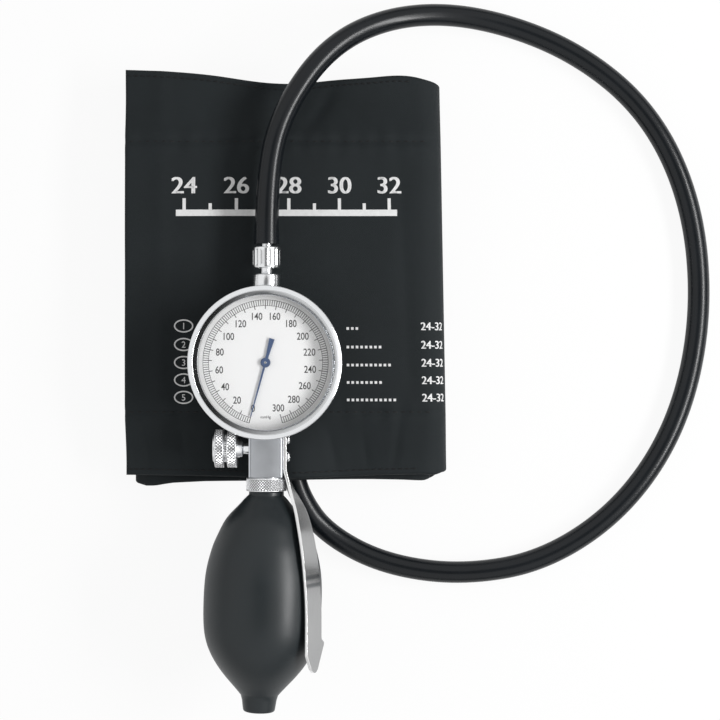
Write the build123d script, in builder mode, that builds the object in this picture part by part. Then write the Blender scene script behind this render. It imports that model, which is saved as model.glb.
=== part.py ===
"""Palm-held aneroid sphygmomanometer with its rubber hose and folded arm cuff, in millimetres.

The object lies on a table: the folded cuff is flat on it, the gauge lies face up on the cuff, and
the bulb points along -Y. +Z is up, out of the dial. The origin is on the table, under the middle
of the cuff and the hand unit together.
"""

import os
from math import asin, cos, degrees, radians, sin, sqrt, tan

from build123d import *

os.makedirs("parts", exist_ok=True)

# Clearances on the radius: a running fit, and a wheel or bush fixed on its shaft or in its hole
fit = 0.05
fixed_fit = 0.01
# Gap between soft pieces and what they lie beside
soft_gap = 0.3

# Folded cuff
cuff_width = 116.2
cuff_height = 146.7
sleeve_ply = 2.4
sleeve_gap = 0.4
inner_turn_step = 5.0
cuff_seam_margin = 24.0
fastener_gap = 1.4
fastener_pad = 0.5
fastener_width = 40.0
fastener_height = 118.0
fastener_inset = 4.0

# Bladder and its spout
bladder_width = 88.0
bladder_height = 98.0
bladder_thickness = 8.4
bladder_corner = 12.0
bladder_crown = 2.4
port_length = 6.0
port_offset = 7.8

# Gauge case and window
case_radius = 25.0
case_wall = 1.2
case_back = 1.2
case_height = 17.0
case_edge_radius = 1.6
dial_ledge_height = 15.4
dial_ledge_width = 1.2
dial_thickness = 0.6
dial_hole_radius = 1.2
bezel_wall = 2.1
bezel_depth = 7.5
bezel_lip_depth = 3.7
bezel_lip_width = 1.4
bezel_rim_width = 1.9
bezel_rim_radius = 1.5
gasket_thickness = 0.6
gasket_width = 2.0
crystal_thickness = 1.5

# Pointer
pointer_tip_gap = 3.8
pointer_tail = 8.7
pointer_tip_width = 0.35
pointer_neck_width = 0.75
pointer_tail_width = 1.9
pointer_thickness = 0.3
pointer_lift = 0.45
pointer_hub_radius = 1.75
pointer_hub_height = 0.75
pointer_boss_step = 0.3
zero_angle = 15.3

# Manifold and capsule in the bottom of the case
manifold_width = 9.0
manifold_thickness = 4.0
manifold_bore = 1.0
end_block_depth = 4.0
end_block_roof = 1.0
riser_bore = 0.6
capsule_gap = 0.3
capsule_thickness = 3.0
capsule_skin = 0.3
capsule_ridge = 0.45
capsule_ridges = 4
capsule_seat = 0.2
capsule_stem_radius = 1.6
capsule_stem_depth = 1.2
stud_radius = 1.5
stud_base = 0.4
stud_tip_radius = 0.5
stud_height = 1.6
stud_rise = 1.2

# Movement plates and posts
base_plate_gap = 0.35
base_plate_lift = 12.2
base_plate_thickness = 0.7
post_radius = 1.4
post_edge = 0.1
post_count = 4
post_turn = 45.0
bridge_lift = 14.5
bridge_thickness = 0.5
bridge_width = 4.4
bridge_foot_width = 10.4
bridge_foot_depth = 3.0
bridge_tail = 9.5
bridge_post_radius = 1.0
plate_screw_radius = 1.1
plate_screw_shank = 0.6
plate_screw_head = 0.5
plate_screw_length = 3.0

# Rocker shaft: the arm lies on the capsule's stud, the blade pushes the sector's pin
rocker_shaft_radius = 0.6
rocker_arm_reach = 4.0
rocker_arm_thickness = 0.4
rocker_arm_width = 1.6
rocker_arm_overhang = 0.5
rocker_blade_thickness = 0.5
rocker_blade_width = 1.2
rocker_blade_height = 3.4
rocker_stud_gap = 0.3
blade_pin_gap = 0.15
blade_slot_gap = 0.3
lug_thickness = 0.8
lug_width = 2.4
lug_drop = 0.9
lug_gap = 0.4

# Sector, pinion and hairspring
pivot_margin = 3.2
pinion_teeth = 10
sector_full_teeth = 110
sector_teeth = 14
sector_sweep = 29.9
sector_rim_depth = 1.8
sector_arm_width = 2.0
sector_hub_radius = 0.95
sector_pin_radius = 0.3
sector_pin_height = 1.1
tooth_tip_share = 0.24
tooth_pitch_share = 0.6
tooth_root_share = 0.8
tooth_depth_share = 1.24
gear_face = 0.5
gear_lift = 0.2
arbor_radius = 0.45
arbor_end_gap = 0.05
collet_radius = 0.9
hairspring_half_turns = 7
hairspring_pitch = 0.9
hairspring_ribbon = 0.2
hairspring_height = 0.45
hairspring_lift = 0.9
hairspring_stud_radius = 0.5

# Valve body under the gauge
port_height = 9.0
body_width = 12.2
body_depth = 12.2
body_length = 15.7
body_chamfer = 1.0
stem_radius = 3.5
stem_length = 5.0
stem_root = 2.0
stem_pocket = 0.4
air_bore = 1.4
saddle_gap = 0.15

# Air release valve on the left of the body
release_step = 5.6
gland_radius = 2.0
gland_neck_length = 2.3
gland_stud_radius = 2.4
gland_stud_length = 2.6
seal_thickness = 0.5
needle_radius = 1.0
needle_tip_radius = 0.2
needle_cone_length = 1.6
needle_tip_reach = 0.5
seat_bore = 0.5
seat_depth = 0.8
knob_radius = 6.85
knob_hub_radius = 2.9
knob_hub_flare = 0.4
knob_hub_width = 1.9
knob_inner_width = 3.5
knob_groove_width = 1.1
knob_groove_radius = 4.1
knob_outer_width = 3.35
knob_cap_radius = 4.8
knob_cap_width = 0.65
knob_end_wall = 1.0
knob_chamfer = 0.4

# Socket, nipple and union nut for the hose at the top
socket_radius = 4.85
socket_length = 6.5
nipple_radius = 2.2
nipple_bore = 1.15
nipple_plug_length = 4.0
nipple_flange_radius = 3.2
nipple_flange_length = 1.0
neck_length = 2.1
nut_radius = 4.9
nut_length = 7.5
nut_end_wall = 2.0
nut_flutes = 12
nut_flute_radius = 0.8
nut_flute_depth = 0.35
nut_end_band = 0.8
collar_radius = 1.9
collar_length = 1.1
barb_length = 6.0
barb_waist = 0.35
barb_rings = 2

# Ferrule and bulb nipple with the outlet valve
ferrule_radius = 7.2
ferrule_length = 4.8
ferrule_chamfer = 0.35
ferrule_gap = 0.2
bulb_stud_length = 5.0
bulb_flange_radius = 5.6
bulb_tail_radius = 4.1
bulb_tail_length = 10.0
chamber_radius = 1.75
ball_radius = 1.5
ball_bore = 1.3
ball_travel = 0.8
ball_gap = 0.05
cage_length = 1.6
cage_bore = 0.8

# Rubber bulb: distances down its axis, or up from its end for the tail, and radii there
bulb_length = 78.5
bulb_tilt = 2.0
bulb_wall = 2.5
bulb_neck_radius = 6.25
bulb_neck_at = 2.0
bulb_throat_radius = 9.3
bulb_throat_at = 6.5
bulb_shoulder_radius = 16.3
bulb_shoulder_at = 15.9
bulb_chest_radius = 19.3
bulb_chest_at = 26.0
bulb_belly_radius = 21.0
bulb_belly_at = 41.5
bulb_low_radius = 17.1
bulb_low_at = 59.6
bulb_cone_radius = 9.2
bulb_cone_rise = 8.5
bulb_tail_neck_radius = 6.2
bulb_tail_neck_rise = 4.9
bulb_end_radius = 5.5
bulb_end_round = 0.9
bulb_cavity_from = 10.5
bulb_end_wall = 7.9

# Intake valve in the end of the bulb
intake_radius = 3.6
intake_length = 7.4
intake_flange_radius = 4.4
intake_flange_thickness = 1.0
screen_thickness = 0.4
screen_recess = 0.6
screen_hole_radius = 0.3
screen_holes = 6

# Palm spoon on the right of the body
spoon_thickness = 1.2
spoon_width = 11.0
spoon_gap = 0.35
spoon_top_gap = 0.5
spoon_bend_above = 3.4
spoon_wrap = 58.0
spoon_shoulder_wrap = 61.0
spoon_throat_wrap = 68.0
spoon_throat_at = 9.0
spoon_throat_gap = 4.9
spoon_shoulder_gap = 1.3
spoon_chest_gap = 0.7
spoon_ferrule_wrap = 84.0
spoon_ferrule_rise = 0.6
spoon_ferrule_lead = 0.8
spoon_tip_at = 63.25
spoon_tip_left = 2.0
spoon_tip_right = 1.7
spoon_tip_rise = 4.6
spoon_ear_out = 1.3
spoon_ear_rise = 9.2
spoon_ear_height = 1.4
spoon_tip_round = 1.5
screw_pitch = 6.2
screw_step = 2.3
screw_head_radius = 1.9
screw_head_height = 1.1
screw_head_dome = 0.75
screw_shank_radius = 1.2
screw_shank_length = 3.0
screw_slot_width = 0.5
screw_slot_depth = 0.5

# Hose
hose_radius = 4.0
hose_bore = 2.0

# Heights in the folded packet, from the table up
inner_turn_bottom = sleeve_ply + sleeve_gap
core_bottom = inner_turn_bottom + sleeve_ply
core_height = bladder_thickness + 2 * soft_gap
upper_turn_bottom = core_bottom + core_height
top_turn_bottom = upper_turn_bottom + sleeve_ply + fastener_gap
cuff_top = top_turn_bottom + sleeve_ply
core_middle = core_bottom + core_height / 2

# Reaches of the hand unit, measured from the dial's centre
release_drop = case_radius + release_step
screw_first_drop = case_radius + screw_step
body_end = case_radius + body_length
ferrule_top = body_end + ferrule_gap
ferrule_end = ferrule_top + ferrule_length
bulb_top = ferrule_end + fit
bulb_reach = bulb_top + bulb_length * cos(radians(bulb_tilt))
socket_end = case_radius + socket_length
nut_start = socket_end + neck_length
nut_end = nut_start + nut_length
collar_end = nut_end + collar_length
cuff_reach = 104.8

# Places of the hand unit
axis_x = -6.3
case_z = cuff_top + soft_gap
axis_z = case_z + port_height
dial_y = (bulb_reach - cuff_reach) / 2
cuff_y = dial_y + cuff_reach - cuff_height / 2
dial_axis = Axis((axis_x, dial_y, 0), (0, 0, 1))


def level(height):
    """The plane across the dial's axis at a height above the back of the case."""
    return Plane((axis_x, dial_y, case_z + height), x_dir=(1, 0, 0), z_dir=(0, 0, 1))


def below(reach):
    """The plane square to the hand unit's axis at a reach under the dial's centre, facing the bulb."""
    return Plane((axis_x, dial_y - reach, axis_z), x_dir=(1, 0, 0), z_dir=(0, -1, 0))


def above(reach):
    """The plane square to the hand unit's axis at a reach over the dial's centre, facing the hose."""
    return Plane((axis_x, dial_y + reach, axis_z), x_dir=(1, 0, 0), z_dir=(0, 1, 0))


def save(solid, name):
    """Label a finished piece and write its file."""
    solid.part.label = name
    export_step(solid.part, f"parts/{name}.step")


# Cuff sleeve: one band rolled in two turns, whose ends show the roll
half_width = cuff_width / 2
top_line = top_turn_bottom + sleeve_ply / 2
bottom_line = sleeve_ply / 2
upper_line = upper_turn_bottom + sleeve_ply / 2
inner_line = inner_turn_bottom + sleeve_ply / 2
outer_fold = (top_line - bottom_line) / 2
left_fold = (upper_line - bottom_line) / 2
inner_fold = (upper_line - inner_line) / 2
right_edge = half_width - sleeve_ply / 2
left_edge = -half_width + inner_turn_step / 2 + sleeve_ply / 2
inner_edge = right_edge - sleeve_ply - sleeve_gap - inner_turn_step / 2
inner_start = left_edge + left_fold + inner_turn_step
cuff_plane = Plane((0, cuff_y + cuff_height / 2, 0), x_dir=(1, 0, 0), z_dir=(0, -1, 0))
with BuildPart() as cuff_sleeve:
    with BuildSketch(cuff_plane):
        with BuildLine() as roll:
            Line((-half_width, top_line), (right_edge - outer_fold, top_line))
            ThreePointArc(
                (right_edge - outer_fold, top_line),
                (right_edge, (top_line + bottom_line) / 2),
                (right_edge - outer_fold, bottom_line),
            )
            Line((right_edge - outer_fold, bottom_line), (left_edge + left_fold, bottom_line))
            ThreePointArc(
                (left_edge + left_fold, bottom_line),
                (left_edge, (upper_line + bottom_line) / 2),
                (left_edge + left_fold, upper_line),
            )
            Line((left_edge + left_fold, upper_line), (inner_edge - inner_fold, upper_line))
            ThreePointArc(
                (inner_edge - inner_fold, upper_line),
                (inner_edge, (upper_line + inner_line) / 2),
                (inner_edge - inner_fold, inner_line),
            )
            Line((inner_edge - inner_fold, inner_line), (inner_start, inner_line))
        trace(roll.line, line_width=sleeve_ply)
    extrude(amount=cuff_height)
save(cuff_sleeve, "cuff_sleeve")

# Bladder, a crowned pad in the middle of the roll
core_left = left_edge + sleeve_ply / 2 + soft_gap
core_right = inner_edge - sleeve_ply / 2 - soft_gap
bladder_x = (core_left + core_right) / 2
seam_low = cuff_y - cuff_height / 2 + cuff_seam_margin
with BuildPart() as bladder:
    with BuildSketch(Plane((bladder_x, seam_low + bladder_height / 2, core_middle))):
        RectangleRounded(bladder_width, bladder_height, bladder_corner)
    extrude(amount=bladder_thickness / 2, both=True)
    chamfer(bladder.faces().filter_by(Axis.Z).edges(), bladder_crown)
save(bladder, "bladder")

# Spout of the bladder, which the hose meets inside the fold of the cuff
port_x = axis_x + port_offset
port_plane = Plane((port_x, seam_low, core_middle), x_dir=(1, 0, 0), z_dir=(0, -1, 0))
with BuildPart() as bladder_port:
    with BuildSketch(port_plane):
        Circle(hose_radius)
        Circle(hose_bore, mode=Mode.SUBTRACT)
    extrude(amount=port_length)
save(bladder_port, "bladder_port")

# Hook and loop pads that hold the roll shut, under the free end of the cuff
fastener_x = -half_width + fastener_inset + fastener_width / 2
with BuildPart() as hook_pad:
    with BuildSketch(Plane((fastener_x, cuff_y, top_turn_bottom - fastener_pad))):
        Rectangle(fastener_width, fastener_height)
    extrude(amount=fastener_pad)
save(hook_pad, "hook_pad")

with BuildPart() as loop_pad:
    with BuildSketch(Plane((fastener_x + fastener_inset, cuff_y, upper_turn_bottom + sleeve_ply))):
        Rectangle(fastener_width, fastener_height)
    extrude(amount=fastener_pad)
save(loop_pad, "loop_pad")

# Gauge case: a cup with a ledge for the dial and two holes for the air stems
case_bore = case_radius - case_wall
ledge_bore = case_bore - dial_ledge_width
with BuildPart() as gauge_case:
    with BuildSketch(level(0)):
        Circle(case_radius)
    extrude(amount=case_height)
    with BuildSketch(level(case_back)):
        Circle(ledge_bore)
    extrude(amount=case_height, mode=Mode.SUBTRACT)
    with BuildSketch(level(dial_ledge_height)):
        Circle(case_bore)
    extrude(amount=case_height, mode=Mode.SUBTRACT)
    fillet(gauge_case.faces().sort_by(Axis.Z)[0].outer_wire().edges(), case_edge_radius)
    with BuildSketch(below(0)):
        Circle(stem_radius + fit)
    extrude(amount=2 * case_radius, both=True, mode=Mode.SUBTRACT)
save(gauge_case, "gauge_case")

# Gasket and crystal on the rim of the case
crystal_radius = case_radius - fit
crystal_bottom = case_height + gasket_thickness
crystal_top = crystal_bottom + crystal_thickness
with BuildPart() as window_gasket:
    with BuildSketch(level(case_height)):
        Circle(crystal_radius)
        Circle(crystal_radius - gasket_width, mode=Mode.SUBTRACT)
    extrude(amount=gasket_thickness)
save(window_gasket, "window_gasket")

with BuildPart() as crystal:
    with BuildSketch(level(crystal_bottom)):
        Circle(crystal_radius)
    extrude(amount=crystal_thickness)
save(crystal, "crystal")

# Bezel: a skirt round the case, a lip over the crystal and a bevelled mouth
lip_bottom = crystal_top + fit
bezel_top = lip_bottom + bezel_lip_depth
bezel_radius = case_radius + bezel_wall
bezel_mouth_radius = bezel_radius - bezel_rim_width
bezel_window_radius = case_radius - bezel_lip_width
dial_section = Plane((axis_x, dial_y, case_z), x_dir=(1, 0, 0), z_dir=(0, -1, 0))
with BuildPart() as bezel_ring:
    with BuildSketch(dial_section) as bezel_profile:
        with BuildLine():
            Polyline(
                (case_radius + fit, bezel_top - bezel_depth),
                (bezel_radius, bezel_top - bezel_depth),
                (bezel_radius, bezel_top),
                (bezel_mouth_radius, bezel_top),
                (bezel_window_radius, lip_bottom + fit),
                (bezel_window_radius, lip_bottom),
                (case_radius + fit, lip_bottom),
                close=True,
            )
        make_face()
        fillet(bezel_profile.vertices().group_by(Axis.X)[-1].sort_by(Axis.Y)[-1], bezel_rim_radius)
    revolve(axis=dial_axis)
save(bezel_ring, "bezel_ring")

# Dial plate on the ledge
dial_top = dial_ledge_height + dial_thickness
with BuildPart() as dial_plate:
    with BuildSketch(level(dial_ledge_height)):
        Circle(case_bore - fit)
        Circle(dial_hole_radius, mode=Mode.SUBTRACT)
    extrude(amount=dial_thickness)
save(dial_plate, "dial_plate")

# Pointer, drawn along its own length and turned to the zero mark
pointer_turn = -zero_angle - 90
pointer_tip = bezel_window_radius - pointer_tip_gap
pointer_bottom = dial_top + pointer_lift
with BuildPart() as pointer:
    with BuildSketch(level(pointer_bottom).rotated((0, 0, pointer_turn))):
        with BuildLine():
            Polyline(
                (pointer_tip, pointer_tip_width / 2),
                (0, pointer_neck_width / 2),
                (-pointer_tail, pointer_tail_width / 2),
                (-pointer_tail, -pointer_tail_width / 2),
                (0, -pointer_neck_width / 2),
                (pointer_tip, -pointer_tip_width / 2),
                close=True,
            )
        make_face()
        Circle(pointer_hub_radius)
    extrude(amount=pointer_thickness)
    with BuildSketch(level(pointer_bottom)):
        Circle(pointer_hub_radius - pointer_boss_step)
    extrude(amount=pointer_hub_height)
    with BuildSketch(level(pointer_bottom)):
        Circle(arbor_radius + fixed_fit)
    extrude(amount=pointer_hub_height, mode=Mode.SUBTRACT)
save(pointer, "pointer")

# Manifold: a bar on the floor of the case whose end blocks take the two air stems
manifold_top = case_back + manifold_thickness
block_top = port_height + stem_radius + end_block_roof
block_face = ledge_bore - fit - end_block_depth
pocket_end = case_radius - stem_length - stem_pocket
riser_reach = pocket_end + riser_bore
bore_height = case_back + manifold_thickness / 2
with BuildPart() as manifold:
    with BuildSketch(level(case_back)):
        Circle(ledge_bore - fit)
        Rectangle(manifold_width, 2 * ledge_bore, mode=Mode.INTERSECT)
    extrude(amount=block_top - case_back)
    with BuildSketch(level(manifold_top)):
        Rectangle(manifold_width, 2 * block_face)
    extrude(amount=block_top, mode=Mode.SUBTRACT)
    for plane in (below(pocket_end), above(pocket_end)):
        with BuildSketch(plane):
            Circle(stem_radius + fit)
        extrude(amount=case_radius, mode=Mode.SUBTRACT)
    with BuildSketch(level(bore_height)):
        with Locations((0, riser_reach), (0, -riser_reach)):
            Circle(riser_bore)
    extrude(amount=port_height - bore_height, mode=Mode.SUBTRACT)
    with BuildSketch(Plane((axis_x, dial_y, case_z + bore_height), z_dir=(0, 1, 0))):
        Circle(manifold_bore)
    extrude(amount=riser_reach + riser_bore, both=True, mode=Mode.SUBTRACT)
    with BuildSketch(level(bore_height)):
        Circle(manifold_bore)
    extrude(amount=manifold_thickness, mode=Mode.SUBTRACT)
    with BuildSketch(level(manifold_top - capsule_stem_depth)):
        Circle(capsule_stem_radius + fit)
    extrude(amount=capsule_stem_depth, mode=Mode.SUBTRACT)
save(manifold, "manifold")

# Capsule: a hollow disc with ring-shaped ridges and a stem into the manifold, inside the posts
base_plate_radius = block_face - base_plate_gap
post_circle_radius = base_plate_radius - post_radius - post_edge
capsule_radius = post_circle_radius - post_radius - capsule_gap
capsule_bottom = manifold_top + capsule_seat
capsule_top = capsule_bottom + capsule_thickness
capsule_middle = capsule_bottom + capsule_thickness / 2
ridge_step = (capsule_radius - stud_radius - capsule_skin) / (2 * capsule_ridges)


def ridged_half(inset):
    """Points of the upper half of the capsule's outline, drawn in by an inset, out from its axis."""
    top = capsule_thickness / 2 - inset
    points = [(0, top), (stud_radius, top)]
    for step in range(1, 2 * capsule_ridges):
        points.append((stud_radius + step * ridge_step, top - capsule_ridge * (step % 2)))
    points.append((capsule_radius - capsule_skin - inset, top - capsule_ridge))
    points.append((capsule_radius - inset, 0))
    return points


with BuildPart() as capsule:
    with BuildSketch(Plane((axis_x, dial_y, case_z + capsule_middle), x_dir=(1, 0, 0), z_dir=(0, -1, 0))):
        for inset, mode in ((0, Mode.ADD), (capsule_skin, Mode.SUBTRACT)):
            upper_side = ridged_half(inset)
            lower_side = [(x, -y) for x, y in reversed(upper_side[:-1])]
            with BuildLine():
                Polyline(*upper_side, *lower_side, close=True)
            make_face(mode=mode)
    revolve(axis=dial_axis)
    with BuildSketch(level(capsule_bottom - capsule_stem_depth)):
        Circle(capsule_stem_radius)
    extrude(amount=capsule_stem_depth)
    with BuildSketch(level(capsule_bottom - capsule_stem_depth)):
        Circle(manifold_bore)
    extrude(amount=capsule_stem_depth + capsule_skin, mode=Mode.SUBTRACT)
save(capsule, "capsule")

# Stud on the capsule, which the rocker's arm lies on
stud_top = capsule_top + stud_height
with BuildPart() as capsule_stud:
    with BuildSketch(level(capsule_top)):
        Circle(stud_radius)
    extrude(amount=stud_base)
    with BuildSketch(level(capsule_top)):
        Circle(stud_tip_radius)
    extrude(amount=stud_height)
save(capsule_stud, "capsule_stud")

# Gearing, worked out from the tooth counts and the stud's rise
gear_ratio = sector_full_teeth / pinion_teeth
centre_distance = base_plate_radius - pivot_margin
gear_module = 2 * centre_distance / (pinion_teeth + sector_full_teeth)
tooth_tip_half = tooth_tip_share * gear_module
tooth_pitch_half = tooth_pitch_share * gear_module
tooth_root_half = tooth_root_share * gear_module
tooth_root_depth = tooth_depth_share * gear_module
half_sweep = sector_sweep / 2
rocker_swing = degrees(asin(stud_rise / rocker_arm_reach))
sector_pin_circle = rocker_blade_height * tan(radians(rocker_swing)) / (2 * sin(radians(half_sweep)))
blade_offset = (
    sector_pin_circle * sin(radians(half_sweep))
    + sector_pin_radius
    + blade_pin_gap
    + rocker_blade_thickness / 2
)
shaft_turn = -degrees(asin((rocker_arm_reach + blade_offset) / centre_distance))
sector_along_shaft = sqrt(centre_distance**2 - (rocker_arm_reach + blade_offset) ** 2)
blade_at = sector_along_shaft + sector_pin_circle
base_plate_top = base_plate_lift + base_plate_thickness
gear_bottom = base_plate_top + gear_lift
rocker_line = stud_top + rocker_stud_gap + rocker_arm_thickness / 2
print("sector turns", sector_sweep, "rocker turns", round(rocker_swing, 4), "shaft at", round(shaft_turn, 4))


def shaft_level(height):
    """The plane at a height above the back of the case, with X along the rocker shaft."""
    return level(height).rotated((0, 0, shaft_turn))


# Base plate on its four posts, with pivot holes, the blade's notch and lugs for the rocker shaft
notch_start = blade_at - rocker_blade_width / 2 - blade_slot_gap
notch_back = rocker_arm_reach - rocker_blade_thickness / 2 - blade_slot_gap
blade_lean = (base_plate_top - rocker_line) * tan(radians(rocker_swing))
notch_front = rocker_arm_reach + rocker_blade_thickness / 2 + blade_lean + blade_slot_gap
lug_inner = -rocker_arm_width / 2 - lug_gap - lug_thickness / 2
lug_outer = blade_at - rocker_blade_width / 2 - lug_gap - lug_thickness / 2
with BuildPart() as base_plate:
    with BuildSketch(level(base_plate_lift)):
        Circle(base_plate_radius)
        with Locations((0, 0), (centre_distance, 0)):
            Circle(arbor_radius + fit, mode=Mode.SUBTRACT)
        with PolarLocations(post_circle_radius, post_count, start_angle=post_turn):
            Circle(plate_screw_shank + fit, mode=Mode.SUBTRACT)
    extrude(amount=base_plate_thickness)
    with BuildSketch(shaft_level(base_plate_lift)):
        with Locations((notch_start, notch_back)):
            Rectangle(base_plate_radius, notch_front - notch_back, align=(Align.MIN, Align.MIN))
    extrude(amount=base_plate_thickness, mode=Mode.SUBTRACT)
    with BuildSketch(shaft_level(rocker_line - lug_drop)):
        with Locations((lug_inner, rocker_arm_reach), (lug_outer, rocker_arm_reach)):
            Rectangle(lug_thickness, lug_width)
    extrude(amount=base_plate_lift - rocker_line + lug_drop)
    shaft_end = Plane(
        shaft_level(rocker_line).from_local_coords((0, rocker_arm_reach, 0)),
        z_dir=shaft_level(0).x_dir,
    )
    with BuildSketch(shaft_end):
        Circle(rocker_shaft_radius + fit)
    extrude(amount=base_plate_radius, both=True, mode=Mode.SUBTRACT)
save(base_plate, "base_plate")

with BuildPart() as movement_posts:
    with BuildSketch(level(case_back)):
        with PolarLocations(post_circle_radius, post_count, start_angle=post_turn):
            Circle(post_radius)
            Circle(plate_screw_shank + fit, mode=Mode.SUBTRACT)
    extrude(amount=base_plate_lift - case_back)
save(movement_posts, "movement_posts")

with BuildPart() as movement_screws:
    with BuildSketch(level(base_plate_top)):
        with PolarLocations(post_circle_radius, post_count, start_angle=post_turn):
            Circle(plate_screw_radius)
    extrude(amount=plate_screw_head)
    with BuildSketch(level(base_plate_top)):
        with PolarLocations(post_circle_radius, post_count, start_angle=post_turn):
            Circle(plate_screw_shank)
    extrude(amount=-plate_screw_length)
save(movement_screws, "movement_screws")

# Rocker shaft with its arm over the stud and its blade behind the sector's pin
shaft_start = lug_inner - lug_thickness / 2
shaft_length = blade_at + rocker_blade_width / 2 - shaft_start
with BuildPart() as rocker_shaft:
    with BuildSketch(shaft_end.offset(shaft_start)):
        Circle(rocker_shaft_radius)
    extrude(amount=shaft_length)
    with BuildSketch(shaft_level(rocker_line - rocker_arm_thickness / 2)):
        with Locations((0, rocker_arm_reach)):
            Rectangle(
                rocker_arm_width,
                rocker_arm_reach + rocker_arm_overhang,
                align=(Align.CENTER, Align.MAX),
            )
    extrude(amount=rocker_arm_thickness)
    with BuildSketch(shaft_level(rocker_line)):
        with Locations((blade_at, rocker_arm_reach)):
            Rectangle(rocker_blade_width, rocker_blade_thickness)
    extrude(amount=rocker_blade_height)
save(rocker_shaft, "rocker_shaft")

# Bridge over the gears, on three posts
bridge_foot_at = centre_distance + bridge_foot_depth / 2 - sector_hub_radius
bridge_post_places = [
    (-bridge_tail + bridge_width / 2, 0),
    (bridge_foot_at, bridge_foot_width / 2 - bridge_post_radius),
    (bridge_foot_at, bridge_post_radius - bridge_foot_width / 2),
]
with BuildPart() as bridge_plate:
    with BuildSketch(level(bridge_lift)):
        with Locations((-bridge_tail, 0)):
            Rectangle(bridge_tail + bridge_foot_at, bridge_width, align=(Align.MIN, Align.CENTER))
        with Locations((bridge_foot_at, 0)):
            Rectangle(bridge_foot_depth, bridge_foot_width)
        with Locations((0, 0), (centre_distance, 0)):
            Circle(arbor_radius + fit, mode=Mode.SUBTRACT)
    extrude(amount=bridge_thickness)
save(bridge_plate, "bridge_plate")

with BuildPart() as bridge_posts:
    with BuildSketch(level(base_plate_top)):
        with Locations(*bridge_post_places):
            Circle(bridge_post_radius)
    extrude(amount=bridge_lift - base_plate_top)
save(bridge_posts, "bridge_posts")


def tooth(pitch_radius, root_radius, tip_radius):
    """A straight-sided tooth on a wheel's outline, along X."""
    Polygon(
        (root_radius - gear_module, -tooth_root_half),
        (root_radius, -tooth_root_half),
        (pitch_radius, -tooth_pitch_half),
        (tip_radius, -tooth_tip_half),
        (tip_radius, tooth_tip_half),
        (pitch_radius, tooth_pitch_half),
        (root_radius, tooth_root_half),
        (root_radius - gear_module, tooth_root_half),
        align=None,
    )


# Toothed sector, drawn along its middle line and set to the zero end of its swing
sector_pitch = gear_module * sector_full_teeth / 2
sector_root = sector_pitch - tooth_root_depth
sector_step = 360 / sector_full_teeth
sector_plane = Plane(
    level(gear_bottom).from_local_coords((centre_distance, 0, 0)),
    x_dir=(-1, 0, 0),
    z_dir=(0, 0, 1),
).rotated((0, 0, -half_sweep))
tail_turn = 180 + shaft_turn
half_rim = radians(sector_teeth * sector_step / 2)
rim_side = (2 * sector_root * cos(half_rim), 2 * sector_root * sin(half_rim))
with BuildPart() as sector_gear:
    with BuildSketch(sector_plane):
        Circle(sector_root)
        Circle(sector_root - sector_rim_depth, mode=Mode.SUBTRACT)
        with BuildLine():
            Polyline((0, 0), rim_side, (rim_side[0], -rim_side[1]), close=True)
        make_face(mode=Mode.INTERSECT)
        Circle(sector_hub_radius)
        with Locations((0, 0)):
            Rectangle(sector_root - gear_module, sector_arm_width, align=(Align.MIN, Align.CENTER))
        with Locations(Location((0, 0, 0), tail_turn)):
            Rectangle(sector_pin_circle, 2 * sector_pin_radius, align=(Align.MIN, Align.CENTER))
    extrude(amount=gear_face)
    for count in range(sector_teeth):
        turn = (count - (sector_teeth - 1) / 2) * sector_step
        with BuildSketch(sector_plane.rotated((0, 0, turn))):
            tooth(sector_pitch, sector_root, sector_pitch + gear_module)
        extrude(amount=gear_face)
    with BuildSketch(sector_plane.rotated((0, 0, tail_turn))):
        with Locations((sector_pin_circle, 0)):
            Circle(sector_pin_radius)
    extrude(amount=sector_pin_height)
    with BuildSketch(sector_plane):
        Circle(arbor_radius + fixed_fit)
    extrude(amount=gear_face, mode=Mode.SUBTRACT)
save(sector_gear, "sector_gear")

arbor_bottom = base_plate_lift + arbor_end_gap
with BuildPart() as sector_arbor:
    with BuildSketch(Plane(level(arbor_bottom).from_local_coords((centre_distance, 0, 0)))):
        Circle(arbor_radius)
    extrude(amount=bridge_lift + bridge_thickness - arbor_end_gap - arbor_bottom)
save(sector_arbor, "sector_arbor")

# Pointer arbor with its pinion and the hairspring's collet, a tooth set for the sector's zero end
pinion_pitch = gear_module * pinion_teeth / 2
pinion_root = pinion_pitch - tooth_root_depth
hairspring_bottom = base_plate_top + hairspring_lift
with BuildPart() as pointer_arbor:
    with BuildSketch(level(arbor_bottom)):
        Circle(arbor_radius)
    extrude(amount=pointer_bottom + pointer_hub_height - arbor_bottom)
    with BuildSketch(level(gear_bottom)):
        Circle(pinion_root)
    extrude(amount=gear_face)
    for count in range(pinion_teeth):
        turn = half_sweep * gear_ratio + count * 360 / pinion_teeth
        with BuildSketch(level(gear_bottom).rotated((0, 0, turn))):
            tooth(pinion_pitch, pinion_root, pinion_pitch + gear_module)
        extrude(amount=gear_face)
    with BuildSketch(level(hairspring_bottom)):
        Circle(collet_radius)
    extrude(amount=hairspring_height)
save(pointer_arbor, "pointer_arbor")

# Hairspring: half turns whose centres change sides, so that the ribbon winds out steadily
with BuildPart() as hairspring:
    with BuildSketch(level(hairspring_bottom)):
        with BuildLine() as ribbon:
            start = collet_radius + hairspring_ribbon / 2 + fit
            for half in range(hairspring_half_turns):
                side = 1 if half % 2 == 0 else -1
                end = -side * (abs(start) + hairspring_pitch / 2)
                middle = ((start + end) / 2, side * abs(start - end) / 2)
                ThreePointArc((start, 0), middle, (end, 0))
                start = end
        trace(ribbon.line, line_width=hairspring_ribbon)
    extrude(amount=hairspring_height)
save(hairspring, "hairspring")

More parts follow.
